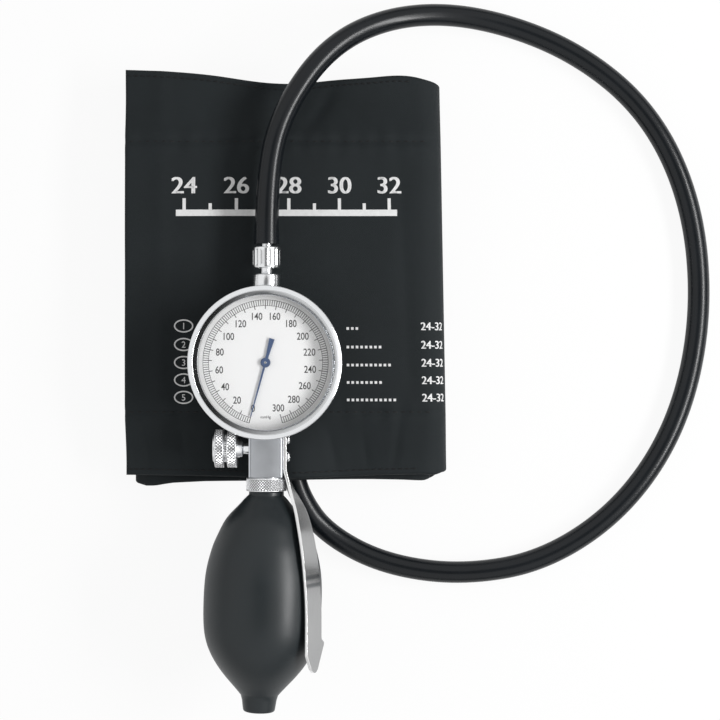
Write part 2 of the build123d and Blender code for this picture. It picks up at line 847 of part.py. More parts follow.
with BuildPart() as hairspring_stud:
    with BuildSketch(level(hairspring_bottom)):
        with Locations((start, -hairspring_stud_radius - fit)):
            Circle(hairspring_stud_radius)
    extrude(amount=bridge_lift - hairspring_bottom)
save(hairspring_stud, "hairspring_stud")

# Valve body: a chamfered block with a saddle for the case and a stem into the manifold
left_face = Plane(
    (axis_x - body_width / 2, dial_y - release_drop, axis_z), x_dir=(0, 1, 0), z_dir=(-1, 0, 0)
)
right_face = Plane(
    (axis_x + body_width / 2, dial_y - screw_first_drop, axis_z), x_dir=(0, 1, 0), z_dir=(1, 0, 0)
)
gland_hole = gland_stud_length + seal_thickness
needle_hole = gland_hole + seat_depth
with BuildPart() as valve_body:
    with BuildSketch(below(case_radius - stem_length)) as body_outline:
        Rectangle(body_width, body_depth)
        chamfer(body_outline.vertices(), body_chamfer)
    extrude(amount=body_length + stem_length)
    with BuildSketch(level(0)):
        Circle(case_radius + saddle_gap)
    extrude(amount=case_z, both=True, mode=Mode.SUBTRACT)
    with BuildSketch(below(case_radius - stem_length)):
        Circle(stem_radius)
    extrude(amount=stem_length + stem_root)
    with BuildSketch(below(case_radius - stem_length)):
        Circle(air_bore)
    extrude(amount=body_length + stem_length, mode=Mode.SUBTRACT)
    with BuildSketch(below(body_end)):
        Circle(stem_radius + fit)
    extrude(amount=-bulb_stud_length, mode=Mode.SUBTRACT)
    for hole_radius, hole_depth in (
        (gland_stud_radius + fixed_fit, gland_hole),
        (needle_radius + fit, needle_hole),
        (seat_bore, body_width / 2),
    ):
        with BuildSketch(left_face):
            Circle(hole_radius)
        extrude(amount=-hole_depth, mode=Mode.SUBTRACT)
    with BuildSketch(right_face):
        with Locations((0, 0), (-screw_pitch, 0)):
            Circle(screw_shank_radius + fixed_fit)
    extrude(amount=-screw_shank_length, mode=Mode.SUBTRACT)
save(valve_body, "valve_body")

# Gland and its packing ring, in which the release valve's needle slides
with BuildPart() as valve_gland:
    with BuildSketch(left_face):
        Circle(gland_stud_radius)
    extrude(amount=-gland_stud_length)
    with BuildSketch(left_face):
        Circle(gland_radius)
    extrude(amount=gland_neck_length)
    with BuildSketch(left_face):
        Circle(needle_radius + fit)
    extrude(amount=gland_stud_length + gland_neck_length, both=True, mode=Mode.SUBTRACT)
save(valve_gland, "valve_gland")

with BuildPart() as gland_packing:
    with BuildSketch(left_face.offset(-gland_hole)):
        Circle(gland_stud_radius)
        Circle(needle_radius + fit, mode=Mode.SUBTRACT)
    extrude(amount=seal_thickness)
save(gland_packing, "gland_packing")

# Needle and knob of the release valve: radius from the valve's axis against distance out of the body
release_section = Plane(left_face.origin, x_dir=(0, 1, 0), z_dir=(0, 0, 1))
release_axis = Axis(left_face.origin, (-1, 0, 0))
hub_start = gland_neck_length + fit
inner_wheel = hub_start + knob_hub_width
groove_start = inner_wheel + knob_inner_width
outer_wheel = groove_start + knob_groove_width
cap_start = outer_wheel + knob_outer_width
knob_end = cap_start + knob_cap_width
needle_tip = -needle_hole - needle_tip_reach
with BuildPart() as valve_needle:
    with BuildSketch(release_section):
        Polygon(
            (0, needle_tip),
            (needle_tip_radius, needle_tip),
            (needle_radius, needle_tip + needle_cone_length),
            (needle_radius, knob_end - knob_end_wall - fit),
            (0, knob_end - knob_end_wall - fit),
            align=None,
        )
    revolve(axis=release_axis)
save(valve_needle, "valve_needle")

with BuildPart() as release_knob:
    with BuildSketch(release_section) as knob_profile:
        Polygon(
            (needle_radius + fit, hub_start),
            (knob_hub_radius, hub_start),
            (knob_hub_radius + knob_hub_flare, inner_wheel),
            (knob_radius, inner_wheel),
            (knob_radius, groove_start),
            (knob_groove_radius, groove_start),
            (knob_groove_radius, outer_wheel),
            (knob_radius, outer_wheel),
            (knob_radius, cap_start),
            (knob_cap_radius, cap_start),
            (knob_cap_radius, knob_end),
            (0, knob_end),
            (0, knob_end - knob_end_wall),
            (needle_radius + fit, knob_end - knob_end_wall),
            align=None,
        )
        chamfer(knob_profile.vertices().group_by(Axis.X)[-1], knob_chamfer)
    revolve(axis=release_axis)
save(release_knob, "release_knob")

# Hose socket: a round boss against the case with its own stem into the manifold
with BuildPart() as hose_socket:
    with BuildSketch(above(case_radius - socket_radius)):
        Circle(socket_radius)
    extrude(amount=socket_length + socket_radius)
    chamfer(hose_socket.faces().sort_by(Axis.Y)[-1].edges(), knob_chamfer)
    with BuildSketch(level(0)):
        Circle(case_radius + saddle_gap)
    extrude(amount=case_z, both=True, mode=Mode.SUBTRACT)
    with BuildSketch(above(case_radius - stem_length)):
        Circle(stem_radius)
    extrude(amount=stem_length + stem_root)
    with BuildSketch(above(case_radius - stem_length)):
        Circle(air_bore)
    extrude(amount=stem_length + socket_length, mode=Mode.SUBTRACT)
    with BuildSketch(above(socket_end)):
        Circle(nipple_radius + fixed_fit)
    extrude(amount=-nipple_plug_length, mode=Mode.SUBTRACT)
save(hose_socket, "hose_socket")

# Nipple: plug, neck, flange inside the nut, collar and a ringed barb inside the hose
hose_section = Plane((axis_x, dial_y, axis_z), x_dir=(1, 0, 0), z_dir=(0, 0, 1))
hose_axis = Axis((axis_x, dial_y, axis_z), (0, 1, 0))
flange_end = nut_end - nut_end_wall - fit
barb_radius = hose_bore - fit
barb_step = barb_length / barb_rings
barb_outline = []
for ring in range(barb_rings):
    ring_start = collar_end + ring * barb_step
    barb_outline += [(barb_radius, ring_start), (barb_radius - barb_waist, ring_start + barb_step)]
with BuildPart() as hose_nipple:
    with BuildSketch(hose_section):
        Polygon(
            (nipple_bore, socket_end - nipple_plug_length),
            (nipple_radius, socket_end - nipple_plug_length),
            (nipple_radius, flange_end - nipple_flange_length),
            (nipple_flange_radius, flange_end - nipple_flange_length),
            (nipple_flange_radius, flange_end),
            (collar_radius, flange_end),
            (collar_radius, collar_end),
            *barb_outline,
            (nipple_bore, collar_end + barb_length),
            align=None,
        )
    revolve(axis=hose_axis)
save(hose_nipple, "hose_nipple")

# Union nut: a fluted sleeve that turns on the nipple
with BuildPart() as union_nut:
    with BuildSketch(hose_section) as nut_profile:
        Polygon(
            (nipple_flange_radius + fit, nut_start),
            (nut_radius, nut_start),
            (nut_radius, nut_end),
            (collar_radius + fit, nut_end),
            (collar_radius + fit, nut_end - nut_end_wall),
            (nipple_flange_radius + fit, nut_end - nut_end_wall),
            align=None,
        )
        chamfer(nut_profile.vertices().group_by(Axis.X)[-1], knob_chamfer)
    revolve(axis=hose_axis)
    with BuildSketch(above(nut_start + nut_end_band)):
        with PolarLocations(nut_radius + nut_flute_radius - nut_flute_depth, nut_flutes):
            Circle(nut_flute_radius)
    extrude(amount=nut_length - 2 * nut_end_band, mode=Mode.SUBTRACT)
save(union_nut, "union_nut")


# Ball valves: a chamber under a plane, closed by a cage above, with the ball on the bore's edge
seat_rise = sqrt(ball_radius**2 - ball_bore**2) + ball_gap
chamber_length = cage_length + seat_rise + ball_travel + ball_radius + ball_gap


def cut_chamber(top_plane, bore_length):
    """Cut a ball's chamber into the part that is being made, and a narrower bore through it."""
    for hole_radius, hole_depth in ((chamber_radius, chamber_length), (ball_bore, bore_length)):
        with BuildSketch(top_plane) as hole:
            Circle(hole_radius)
        extrude(hole.sketch, amount=hole_depth, mode=Mode.SUBTRACT)


def valve_cage(top_plane, name):
    """Make the bored bush that closes a ball's chamber."""
    with BuildPart() as cage:
        with BuildSketch(top_plane):
            Circle(chamber_radius - fixed_fit)
            Circle(cage_bore, mode=Mode.SUBTRACT)
        extrude(amount=cage_length)
    save(cage, name)


def valve_ball(top_plane, name):
    """Make the ball of a valve, resting on the edge of the bore at the chamber's floor."""
    with BuildPart() as ball:
        with Locations(top_plane.offset(chamber_length - seat_rise).origin):
            Sphere(ball_radius)
    save(ball, name)


# Ferrule under the body, round the flange of the bulb's nipple
with BuildPart() as bulb_ferrule:
    with BuildSketch(below(ferrule_top)):
        Circle(ferrule_radius)
    extrude(amount=ferrule_length)
    chamfer(bulb_ferrule.faces().filter_by(Axis.Y).edges(), ferrule_chamfer)
    with BuildSketch(below(ferrule_top)):
        Circle(bulb_flange_radius + fixed_fit)
    extrude(amount=ferrule_length, mode=Mode.SUBTRACT)
save(bulb_ferrule, "bulb_ferrule")

# Bulb nipple with the outlet valve: a stud into the body, a flange and a tail in the bulb's neck
stud_reach = body_end - bulb_stud_length
flange_length = ferrule_end - body_end - fit
outlet_top = below(stud_reach)
with BuildPart() as bulb_nipple:
    with BuildSketch(outlet_top):
        Circle(stem_radius)
    extrude(amount=bulb_stud_length + fit)
    with BuildSketch(below(body_end + fit)):
        Circle(bulb_flange_radius)
    extrude(amount=flange_length)
    with BuildSketch(below(body_end + fit)):
        Circle(bulb_tail_radius)
    extrude(amount=flange_length + bulb_tail_length)
    cut_chamber(outlet_top, bulb_stud_length + 2 * fit + flange_length + bulb_tail_length)
save(bulb_nipple, "bulb_nipple")
valve_cage(outlet_top, "outlet_cage")
valve_ball(outlet_top, "outlet_ball")

# Bulb: a rubber shell turned about its own axis, which leans a little to the left
lean = radians(bulb_tilt)
bulb_top_point = below(bulb_top).origin
bulb_end_point = bulb_top_point + Vector(-sin(lean), -cos(lean), 0) * bulb_length
bulb_section = Plane(bulb_top_point, x_dir=(cos(lean), -sin(lean), 0), z_dir=(0, 0, -1))
bulb_axis = Axis(bulb_top_point, (-sin(lean), -cos(lean), 0))
neck_bore = bulb_tail_radius + fit + bulb_tail_length * tan(lean)
bulb_cavity_to = bulb_length - bulb_end_wall
end_bore = intake_radius + fit
shell_line = [
    (bulb_neck_radius, bulb_neck_at),
    (bulb_throat_radius, bulb_throat_at),
    (bulb_shoulder_radius, bulb_shoulder_at),
    (bulb_chest_radius, bulb_chest_at),
    (bulb_belly_radius, bulb_belly_at),
    (bulb_low_radius, bulb_low_at),
    (bulb_cone_radius, bulb_length - bulb_cone_rise),
    (bulb_tail_neck_radius, bulb_length - bulb_tail_neck_rise),
]
hollow_line = [(radius - bulb_wall, distance) for radius, distance in shell_line[2:7]]
with BuildPart() as bulb:
    with BuildSketch(bulb_section) as bulb_outline:
        with BuildLine():
            Spline(*shell_line)
            Polyline(shell_line[0], (bulb_neck_radius, -bulb_neck_at), (0, -bulb_neck_at), (0, bulb_length))
            Polyline((0, bulb_length), (bulb_end_radius, bulb_length), shell_line[-1])
        make_face()
        fillet(bulb_outline.vertices().group_by(Axis.Y)[-1].sort_by(Axis.X)[-1], bulb_end_round)
    revolve(axis=bulb_axis)
    with BuildSketch(bulb_section):
        with BuildLine():
            Spline(*hollow_line)
            Polyline(hollow_line[0], (neck_bore, bulb_cavity_from), (0, bulb_cavity_from))
            Polyline((0, bulb_cavity_from), (0, bulb_cavity_to), (end_bore + bulb_wall, bulb_cavity_to))
            Line((end_bore + bulb_wall, bulb_cavity_to), hollow_line[-1])
        make_face()
    revolve(axis=bulb_axis, mode=Mode.SUBTRACT)
    with BuildSketch(bulb_section):
        with BuildLine():
            Polyline(
                (0, -bulb_neck_at),
                (neck_bore, -bulb_neck_at),
                (neck_bore, bulb_cavity_from),
                (end_bore, bulb_cavity_from),
                (end_bore, bulb_length),
                (0, bulb_length),
                close=True,
            )
        make_face()
    revolve(axis=bulb_axis, mode=Mode.SUBTRACT)
    split(bisect_by=below(bulb_top), keep=Keep.TOP)
save(bulb, "bulb")

# Intake valve in the end of the bulb, with a dust screen outside
end_plane = Plane(bulb_end_point, x_dir=(cos(lean), -sin(lean), 0), z_dir=(-sin(lean), -cos(lean), 0))
intake_top = end_plane.offset(-screen_recess - intake_length)
with BuildPart() as intake_valve:
    with BuildSketch(intake_top):
        Circle(intake_radius)
    extrude(amount=intake_length)
    with BuildSketch(intake_top):
        Circle(intake_flange_radius)
    extrude(amount=screen_recess + intake_length - bulb_end_wall - fit)
    cut_chamber(intake_top, intake_length)
    with BuildSketch(end_plane.offset(-screen_recess)):
        Circle(intake_radius - intake_flange_thickness + fixed_fit)
    extrude(amount=-screen_thickness, mode=Mode.SUBTRACT)
save(intake_valve, "intake_valve")
valve_cage(intake_top, "intake_cage")
valve_ball(intake_top, "intake_ball")

with BuildPart() as intake_screen:
    with BuildSketch(end_plane.offset(-screen_recess)):
        Circle(intake_radius - intake_flange_thickness)
        with PolarLocations((intake_radius - intake_flange_thickness) / 2, screen_holes):
            Circle(screen_hole_radius, mode=Mode.SUBTRACT)
    extrude(amount=-screen_thickness)
save(intake_screen, "intake_screen")


# Palm spoon: a strap that leaves the body upright, twists and runs along the side of the bulb
def strap_place(reach, out, up, wrap):
    """The plane across the strap at a reach, turned so that its face leans by the wrap from +Z."""
    turn = radians(wrap)
    return Plane(
        (axis_x + out, dial_y - reach, axis_z + up),
        x_dir=(cos(turn), 0, -sin(turn)),
        z_dir=(0, -1, 0),
    )


def strap_on_bulb(distance, radius, gap, wrap):
    """The same, at a distance down the bulb, with a gap between the strap and the bulb's radius there."""
    stand = radius + gap + spoon_thickness / 2
    turn = radians(wrap)
    out = stand * sin(turn) - distance * sin(lean)
    return strap_place(bulb_top + distance, out, stand * cos(turn), wrap)


flat_out = body_width / 2 + spoon_thickness / 2
ferrule_out = ferrule_radius + soft_gap + spoon_thickness / 2
spoon_top = case_radius + spoon_top_gap
blade_place = strap_on_bulb(bulb_belly_at, bulb_belly_radius, spoon_gap, spoon_wrap)
strap_places = [
    strap_place(spoon_top, flat_out, 0, 90),
    strap_place(body_end - spoon_bend_above, flat_out, 0, 90),
    strap_place(ferrule_top, ferrule_out, 0, 90),
    strap_place(ferrule_end, ferrule_out + spoon_ferrule_lead, spoon_ferrule_rise, spoon_ferrule_wrap),
    strap_on_bulb(spoon_throat_at, bulb_throat_radius, spoon_throat_gap, spoon_throat_wrap),
    strap_on_bulb(bulb_shoulder_at, bulb_shoulder_radius, spoon_shoulder_gap, spoon_shoulder_wrap),
    strap_on_bulb(bulb_chest_at, bulb_chest_radius, spoon_chest_gap, spoon_wrap),
    blade_place,
]
blade_face = Plane(
    blade_place.origin, x_dir=blade_place.x_dir, z_dir=blade_place.x_dir.cross(Vector(0, 1, 0))
)
tip_drop = spoon_tip_at - bulb_belly_at
strap_edges = []
for side in (-1, 1):
    edge_points = [
        place.from_local_coords((side * spoon_width / 2, -spoon_thickness / 2, 0))
        for place in strap_places[1:]
    ]
    strap_edges.append(Spline(*edge_points, tangents=[(0, -1, 0), (0, -1, 0)]))
with BuildPart() as spoon:
    with BuildSketch(strap_places[0]):
        Rectangle(spoon_width, spoon_thickness)
    extrude(amount=(strap_places[1].origin - strap_places[0].origin).length)
    thicken(Face.make_surface_from_curves(*strap_edges), amount=spoon_thickness)
    with BuildSketch(blade_face) as blade_outline:
        Polygon(
            (-spoon_width / 2, 0),
            (-spoon_width / 2, spoon_tip_rise - tip_drop),
            (-spoon_tip_left, -tip_drop),
            (spoon_tip_right, -tip_drop),
            (spoon_width / 2 + spoon_ear_out, spoon_ear_rise - tip_drop),
            (spoon_width / 2, spoon_ear_rise + spoon_ear_height - tip_drop),
            (spoon_width / 2, 0),
            align=None,
        )
        fillet(blade_outline.vertices().group_by(Axis.Y)[0], spoon_tip_round)
    extrude(amount=spoon_thickness / 2, both=True)
    with BuildSketch(right_face):
        with Locations((0, 0), (-screw_pitch, 0)):
            Circle(screw_shank_radius + fit)
    extrude(amount=2 * spoon_thickness, mode=Mode.SUBTRACT)
save(spoon, "spoon")

# Two domed, slotted screws that hold the spoon to the body
head_face = right_face.offset(spoon_thickness)
with BuildPart() as spoon_screws:
    with BuildSketch(right_face):
        with Locations((0, 0), (-screw_pitch, 0)):
            Circle(screw_shank_radius)
    extrude(amount=-screw_shank_length)
    with BuildSketch(right_face):
        with Locations((0, 0), (-screw_pitch, 0)):
            Circle(screw_shank_radius)
    extrude(amount=spoon_thickness)
    with BuildSketch(head_face):
        with Locations((0, 0), (-screw_pitch, 0)):
            Circle(screw_head_radius)
    extrude(amount=screw_head_height)
    fillet(spoon_screws.faces().sort_by(Axis.X)[-2:].edges(), screw_head_dome)
    with BuildSketch(head_face.offset(screw_head_height)):
        with Locations((0, 0), (-screw_pitch, 0)):
            Rectangle(2 * screw_head_radius, screw_slot_width)
    extrude(amount=-screw_slot_depth, mode=Mode.SUBTRACT)
save(spoon_screws, "spoon_screws")

# Hose: level out of its fitting, over the cuff's edge, round on the table and up into the fold
hose_route = [
    (axis_x, dial_y + collar_end, axis_z),
    (axis_x, 75.5, axis_z),
    (-1.0, 99.0, 29.4),
    (16.0, 124.0, 24.0),
    (40.5, 137.0, 12.0),
    (71.0, 138.0, 4.0),
    (106.0, 125.5, 4.0),
    (134.0, 102.5, 4.0),
    (150.0, 68.5, 4.0),
    (153.5, 27.0, 4.0),
    (145.0, -12.5, 4.0),
    (125.0, -43.5, 4.0),
    (96.0, -63.5, 4.0),
    (65.0, -69.0, 4.0),
    (36.0, -65.0, 4.0),
    (14.5, -53.5, 5.2),
    (5.0, -40.0, 9.2),
    (1.5, -26.5, 9.7),
    (port_x, seam_low - port_length, core_middle),
]
run_share = 0.45
corners = [Vector(*point) for point in hose_route]
runs = [end - start for start, end in zip(corners, corners[1:])]
hose_radii = []
for before, after in zip(runs, runs[1:]):
    half_turn = radians(before.get_angle(after) / 2)
    hose_radii.append(run_share * min(before.length, after.length) / tan(half_turn))
print("hose radii", [round(radius, 1) for radius in hose_radii])
with BuildPart() as hose:
    with BuildLine() as hose_path:
        FilletPolyline(*hose_route, radius=hose_radii)
    hose_start = Plane(hose_path.line @ 0, z_dir=hose_path.line % 0)
    with BuildSketch(hose_start) as hose_ring:
        Circle(hose_radius)
        Circle(hose_bore, mode=Mode.SUBTRACT)
    sweep()
hose_length = sum(edge.length for edge in hose_path.line.edges())
print("hose length", round(hose_length, 1))
swept_volume = hose_length * hose_ring.sketch.area
print("hose volume", round(hose.part.volume), "and section by length", round(swept_volume))
save(hose, "hose")
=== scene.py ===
"""The looks of a palm-held aneroid sphygmomanometer: gauge, bulb, palm spoon, hose and folded cuff.

Lengths are in metres, in the frame of the solids: the cuff lies on the floor at z = 0, the dial looks
up along +Z and the bulb points along -Y.
"""

from math import cos, pi, radians, sin

import bmesh
import bpy
import numpy as np
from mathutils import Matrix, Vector


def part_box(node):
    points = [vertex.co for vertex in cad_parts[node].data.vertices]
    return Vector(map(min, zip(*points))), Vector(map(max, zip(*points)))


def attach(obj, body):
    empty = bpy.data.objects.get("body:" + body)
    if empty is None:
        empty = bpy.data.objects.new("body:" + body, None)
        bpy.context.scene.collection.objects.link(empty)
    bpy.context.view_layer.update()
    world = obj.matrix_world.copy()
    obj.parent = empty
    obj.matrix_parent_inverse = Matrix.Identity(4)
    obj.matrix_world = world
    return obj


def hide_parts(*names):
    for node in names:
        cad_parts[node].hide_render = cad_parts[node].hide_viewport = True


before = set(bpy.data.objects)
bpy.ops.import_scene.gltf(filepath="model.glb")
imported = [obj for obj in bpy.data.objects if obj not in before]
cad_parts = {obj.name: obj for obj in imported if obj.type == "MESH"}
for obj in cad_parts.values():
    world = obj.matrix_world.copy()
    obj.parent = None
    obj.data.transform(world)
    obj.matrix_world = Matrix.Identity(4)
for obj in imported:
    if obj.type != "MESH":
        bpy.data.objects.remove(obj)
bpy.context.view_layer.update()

ROOT = "hand_unit_and_cuff"
MM = 0.001
WELD = 2e-6

# Places that the solids give
case_low, case_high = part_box("gauge_case")
body_low, body_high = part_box("valve_body")
knob_low, knob_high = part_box("release_knob")
ferrule_low, ferrule_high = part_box("bulb_ferrule")
cuff_low, cuff_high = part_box("cuff_sleeve")
AXIS_X = (case_low.x + case_high.x) / 2
DIAL_Y = (case_low.y + case_high.y) / 2
AXIS_Z = (body_low.z + body_high.z) / 2
KNOB_Y = (knob_low.y + knob_high.y) / 2
DIAL_FACE_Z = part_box("dial_plate")[1].z
POINTER_TOP_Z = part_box("pointer")[1].z
NUT_START_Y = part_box("union_nut")[0].y

# Camera: straight above the table, and how much of the table it sees from side to side
CAMERA_HEIGHT = 0.7
CAMERA_X = 0.027
CAMERA_Y = 0.0106
TABLE_SPAN = 0.26784
SENSOR = 36.0

# The hose's route: out of its fitting, over the cuff's top edge, round on the table and into the fold
HOSE_RADIUS = 0.004
HOSE_FLARE = 1.11
HOSE_ROUTE = [
    (-0.0063, 0.0519, 0.0297), (-0.0063, 0.0755, 0.0297), (-0.001, 0.099, 0.0294), (0.016, 0.124, 0.024),
    (0.0405, 0.137, 0.012), (0.071, 0.138, 0.004), (0.106, 0.1255, 0.004), (0.134, 0.1025, 0.004),
    (0.15, 0.0685, 0.004), (0.1535, 0.027, 0.004), (0.145, -0.0125, 0.004), (0.125, -0.0435, 0.004),
    (0.096, -0.0635, 0.004), (0.065, -0.069, 0.004), (0.036, -0.065, 0.004), (0.0145, -0.0535, 0.0052),
    (0.005, -0.04, 0.0092), (0.0015, -0.0265, 0.0097), (0.0015, -0.0142, 0.0097),
]


class Signal:
    """One output of a shader node. Arithmetic on signals and numbers adds the Math nodes for it."""

    def __init__(self, nodes, socket):
        self.nodes = nodes
        self.socket = socket

    def __add__(self, other):
        return self.nodes.math("ADD", self, other)

    def __sub__(self, other):
        return self.nodes.math("SUBTRACT", self, other)

    def __rsub__(self, other):
        return self.nodes.math("SUBTRACT", other, self)

    def __mul__(self, other):
        return self.nodes.math("MULTIPLY", self, other)

    __radd__ = __add__
    __rmul__ = __mul__


class Nodes:
    """A node tree, and the one method that adds a node to it."""

    def __init__(self, tree):
        self.tree = tree

    def node(self, kind, settings=None, inputs=None, output=0):
        """Add a node: its settings first, then the values or links of its sockets; gives one output."""
        made = self.tree.nodes.new("ShaderNode" + kind)
        for key, value in (settings or {}).items():
            setattr(made, key, value)
        for key, value in (inputs or {}).items():
            if isinstance(value, Signal):
                self.tree.links.new(value.socket, made.inputs[key])
            else:
                made.inputs[key].default_value = value
        return Signal(self, made.outputs[output])

    def math(self, operation, *values):
        """A Math node on signals and numbers."""
        return self.node("Math", {"operation": operation}, dict(enumerate(values)))

    def spread(self, value, low, high):
        """How far a value has come from low to high, eased at both ends."""
        settings = {"interpolation_type": "SMOOTHSTEP"}
        return self.node("MapRange", settings, {"Value": value, "From Min": low, "From Max": high})

    def blend(self, share, first, second):
        """A colour between two colours."""
        return self.node("Mix", {"data_type": "RGBA"}, {0: share, 6: first, 7: second}, output=2)

    def here(self):
        """Object coordinates."""
        return self.node("TexCoord", output=3)

    def flat(self):
        """The piece's own UV map."""
        return self.node("UVMap", {"uv_map": "flat"})

    def stretched(self, vector, scale):
        """Coordinates scaled along each axis."""
        return self.node("Mapping", None, {"Vector": vector, "Scale": scale})

    def noise(self, vector, scale, detail=3.0, roughness=0.5):
        """Cloudy noise from 0 to 1."""
        inputs = {"Vector": vector, "Scale": scale, "Detail": detail, "Roughness": roughness}
        return self.node("TexNoise", None, inputs)

    def parts_of(self, vector):
        """The three numbers of a vector."""
        split = self.node("SeparateXYZ", None, {0: vector})
        return [Signal(self, socket) for socket in split.socket.node.outputs]

    def rays(self, *kinds):
        """For each kind of ray, 1 where it is of that kind and 0 elsewhere."""
        outputs = self.node("LightPath").socket.node.outputs
        return [Signal(self, outputs[f"Is {kind} Ray"]) for kind in kinds]


class Paint(Nodes):
    """A material, with its constant values set on the shader's own sockets."""

    def __init__(self, name, constants):
        self.material = bpy.data.materials.new(name)
        self.material.use_nodes = True
        super().__init__(self.material.node_tree)
        self.shader = self.tree.nodes["Principled BSDF"]
        for key, value in constants.items():
            self.shader.inputs[key].default_value = value

    def feed(self, key, signal):
        """Link a signal to one of the shader's sockets."""
        self.tree.links.new(signal.socket, self.shader.inputs[key])

    def relief(self, height, distance, strength=1.0):
        """Bump the surface by a height from 0 to 1 that stands for a distance in metres."""
        bump = self.node("Bump", None, {"Height": height, "Distance": distance, "Strength": strength})
        self.feed("Normal", bump)


def grey(level):
    """A neutral colour."""
    return (level, level, level, 1.0)


def tone(red, green, blue):
    """A colour with full alpha."""
    return (red, green, blue, 1.0)


# Finishes. A noise's scale is in cells a metre, and a relief's distance in metres

THREADS_PER_METRE = 2600.0


def woven_nylon():
    """Charcoal nylon: a plain weave of fine threads, a little uneven in shade, with a faint sheen."""
    paint = Paint("woven_nylon", {"Roughness": 0.66, "Specular IOR Level": 0.16, "Sheen Weight": 0.02})
    flat = paint.flat()
    along, across, _ = paint.parts_of(flat)
    warp, weft = (paint.math("SINE", way * (2 * pi * THREADS_PER_METRE)) for way in (along, across))
    slub = paint.noise(paint.stretched(flat, (40.0, 900.0, 1.0)), 3.0)
    cloud = paint.noise(paint.here(), 55.0, 4.0)
    weave = warp * weft * 0.5 + 0.5
    paint.relief(weave * 0.7 + slub * 0.3, 0.00012, 0.7)
    shade = cloud * 0.55 + slub * 0.25 + weave * 0.2
    paint.feed("Base Color", paint.blend(shade, tone(0.0095, 0.012, 0.013), tone(0.0165, 0.021, 0.0235)))
    return paint.material


def mottled(name, constants, scale, dark, light, relief=0.0, detail=3.0, roughness=0.5):
    """A finish between two shades, with one fine noise for its shade and its relief."""
    paint = Paint(name, constants)
    grain = paint.noise(paint.here(), scale, detail, roughness)
    paint.feed("Base Color", paint.blend(grain, dark, light))
    if relief:
        paint.relief(grain, relief)
    return paint.material


def thread():
    """Polyester thread: twisted, and darker than the cloth."""
    constants = {"Roughness": 0.6, "Specular IOR Level": 0.3}
    return mottled("thread", constants, 3000.0, tone(0.001, 0.0012, 0.0015), tone(0.004, 0.005, 0.006))


def screen_print():
    """White ink printed on the cloth, a little uneven."""
    return mottled("screen_print", {"Roughness": 0.55}, 900.0, grey(0.66), grey(0.86), 0.00004, 4.0)


def hook_pile():
    """Hook and loop tape: black pile with a tangled surface."""
    constants = {"Roughness": 0.95, "Sheen Weight": 0.4}
    return mottled("hook_pile", constants, 1800.0, grey(0.006), grey(0.035), 0.0004, 5.0, 0.7)


def dial_enamel():
    """White printed dial: matt enamel with a trace of grain."""
    return mottled("dial_enamel", {"Roughness": 0.5}, 2500.0, grey(0.88), grey(0.92), 0.000005)


def dial_ink():
    """Black printing ink."""
    return mottled("dial_ink", {"Roughness": 0.45}, 3000.0, grey(0.008), grey(0.02))


def blued_metal():
    """Blue lacquer on the pointer, a touch uneven."""
    constants = {"Roughness": 0.32, "Coat Weight": 0.3}
    return mottled("blued_metal", constants, 700.0, tone(0.008, 0.04, 0.13), tone(0.015, 0.065, 0.19))


def case_lacquer():
    """Stove enamel on the case: satin charcoal with orange peel."""
    constants = {"Roughness": 0.38, "Coat Weight": 0.25}
    return mottled("case_lacquer", constants, 1500.0, grey(0.055), grey(0.075), 0.00002)


def rubber(name, dark, light, roughness, specular):
    """Moulded rubber: nearly black, with a fine bloom that changes its gloss from place to place."""
    paint = Paint(name, {"Specular IOR Level": specular})
    bloom = paint.noise(paint.here(), 60.0, 5.0)
    grain = paint.noise(paint.here(), 4200.0, 2.0)
    paint.feed("Base Color", paint.blend(bloom, dark, light))
    paint.feed("Roughness", bloom * 0.16 + grain * 0.06 + (roughness - 0.11))
    paint.relief(grain * 0.5 + bloom * 0.5, 0.00003)
    return paint.material


def plated(name, colour, roughness, wear=0.05):
    """Plated metal: a faint haze in its shade and gloss, and handling marks that only change the gloss."""
    paint = Paint(name, {"Metallic": 1.0})
    haze = paint.noise(paint.here(), 240.0, 4.0)
    marks = paint.noise(paint.stretched(paint.here(), (400.0, 2600.0, 2600.0)), 1.0, 2.0)
    hazy = tuple(channel * 0.94 for channel in colour)
    paint.feed("Base Color", paint.blend(haze, tone(*hazy), tone(*colour)))
    paint.feed("Roughness", haze * wear + marks * wear + (roughness - wear))
    return paint.material


def knurled_plate():
    """Satin chrome, duller where the knurl and the pits cut into it, with painted shade darkening those
    hollows.
    """
    paint = Paint("knurled_chrome", {"Metallic": 1.0})
    cut, _, _ = paint.parts_of(paint.flat())
    haze = paint.noise(paint.here(), 240.0, 4.0)
    shaded_groove = paint.spread(cut, 0.21 * MM, 0.33 * MM)
    bright = paint.blend(haze, tone(0.88, 0.885, 0.9), tone(0.93, 0.935, 0.945))
    # Painted shade: the floor of every groove and pit is painted dark grey
    paint.feed("Base Color", paint.blend(shaded_groove, bright, grey(0.2)))
    paint.feed("Roughness", haze * 0.05 + shaded_groove * 0.2 + 0.28)
    return paint.material


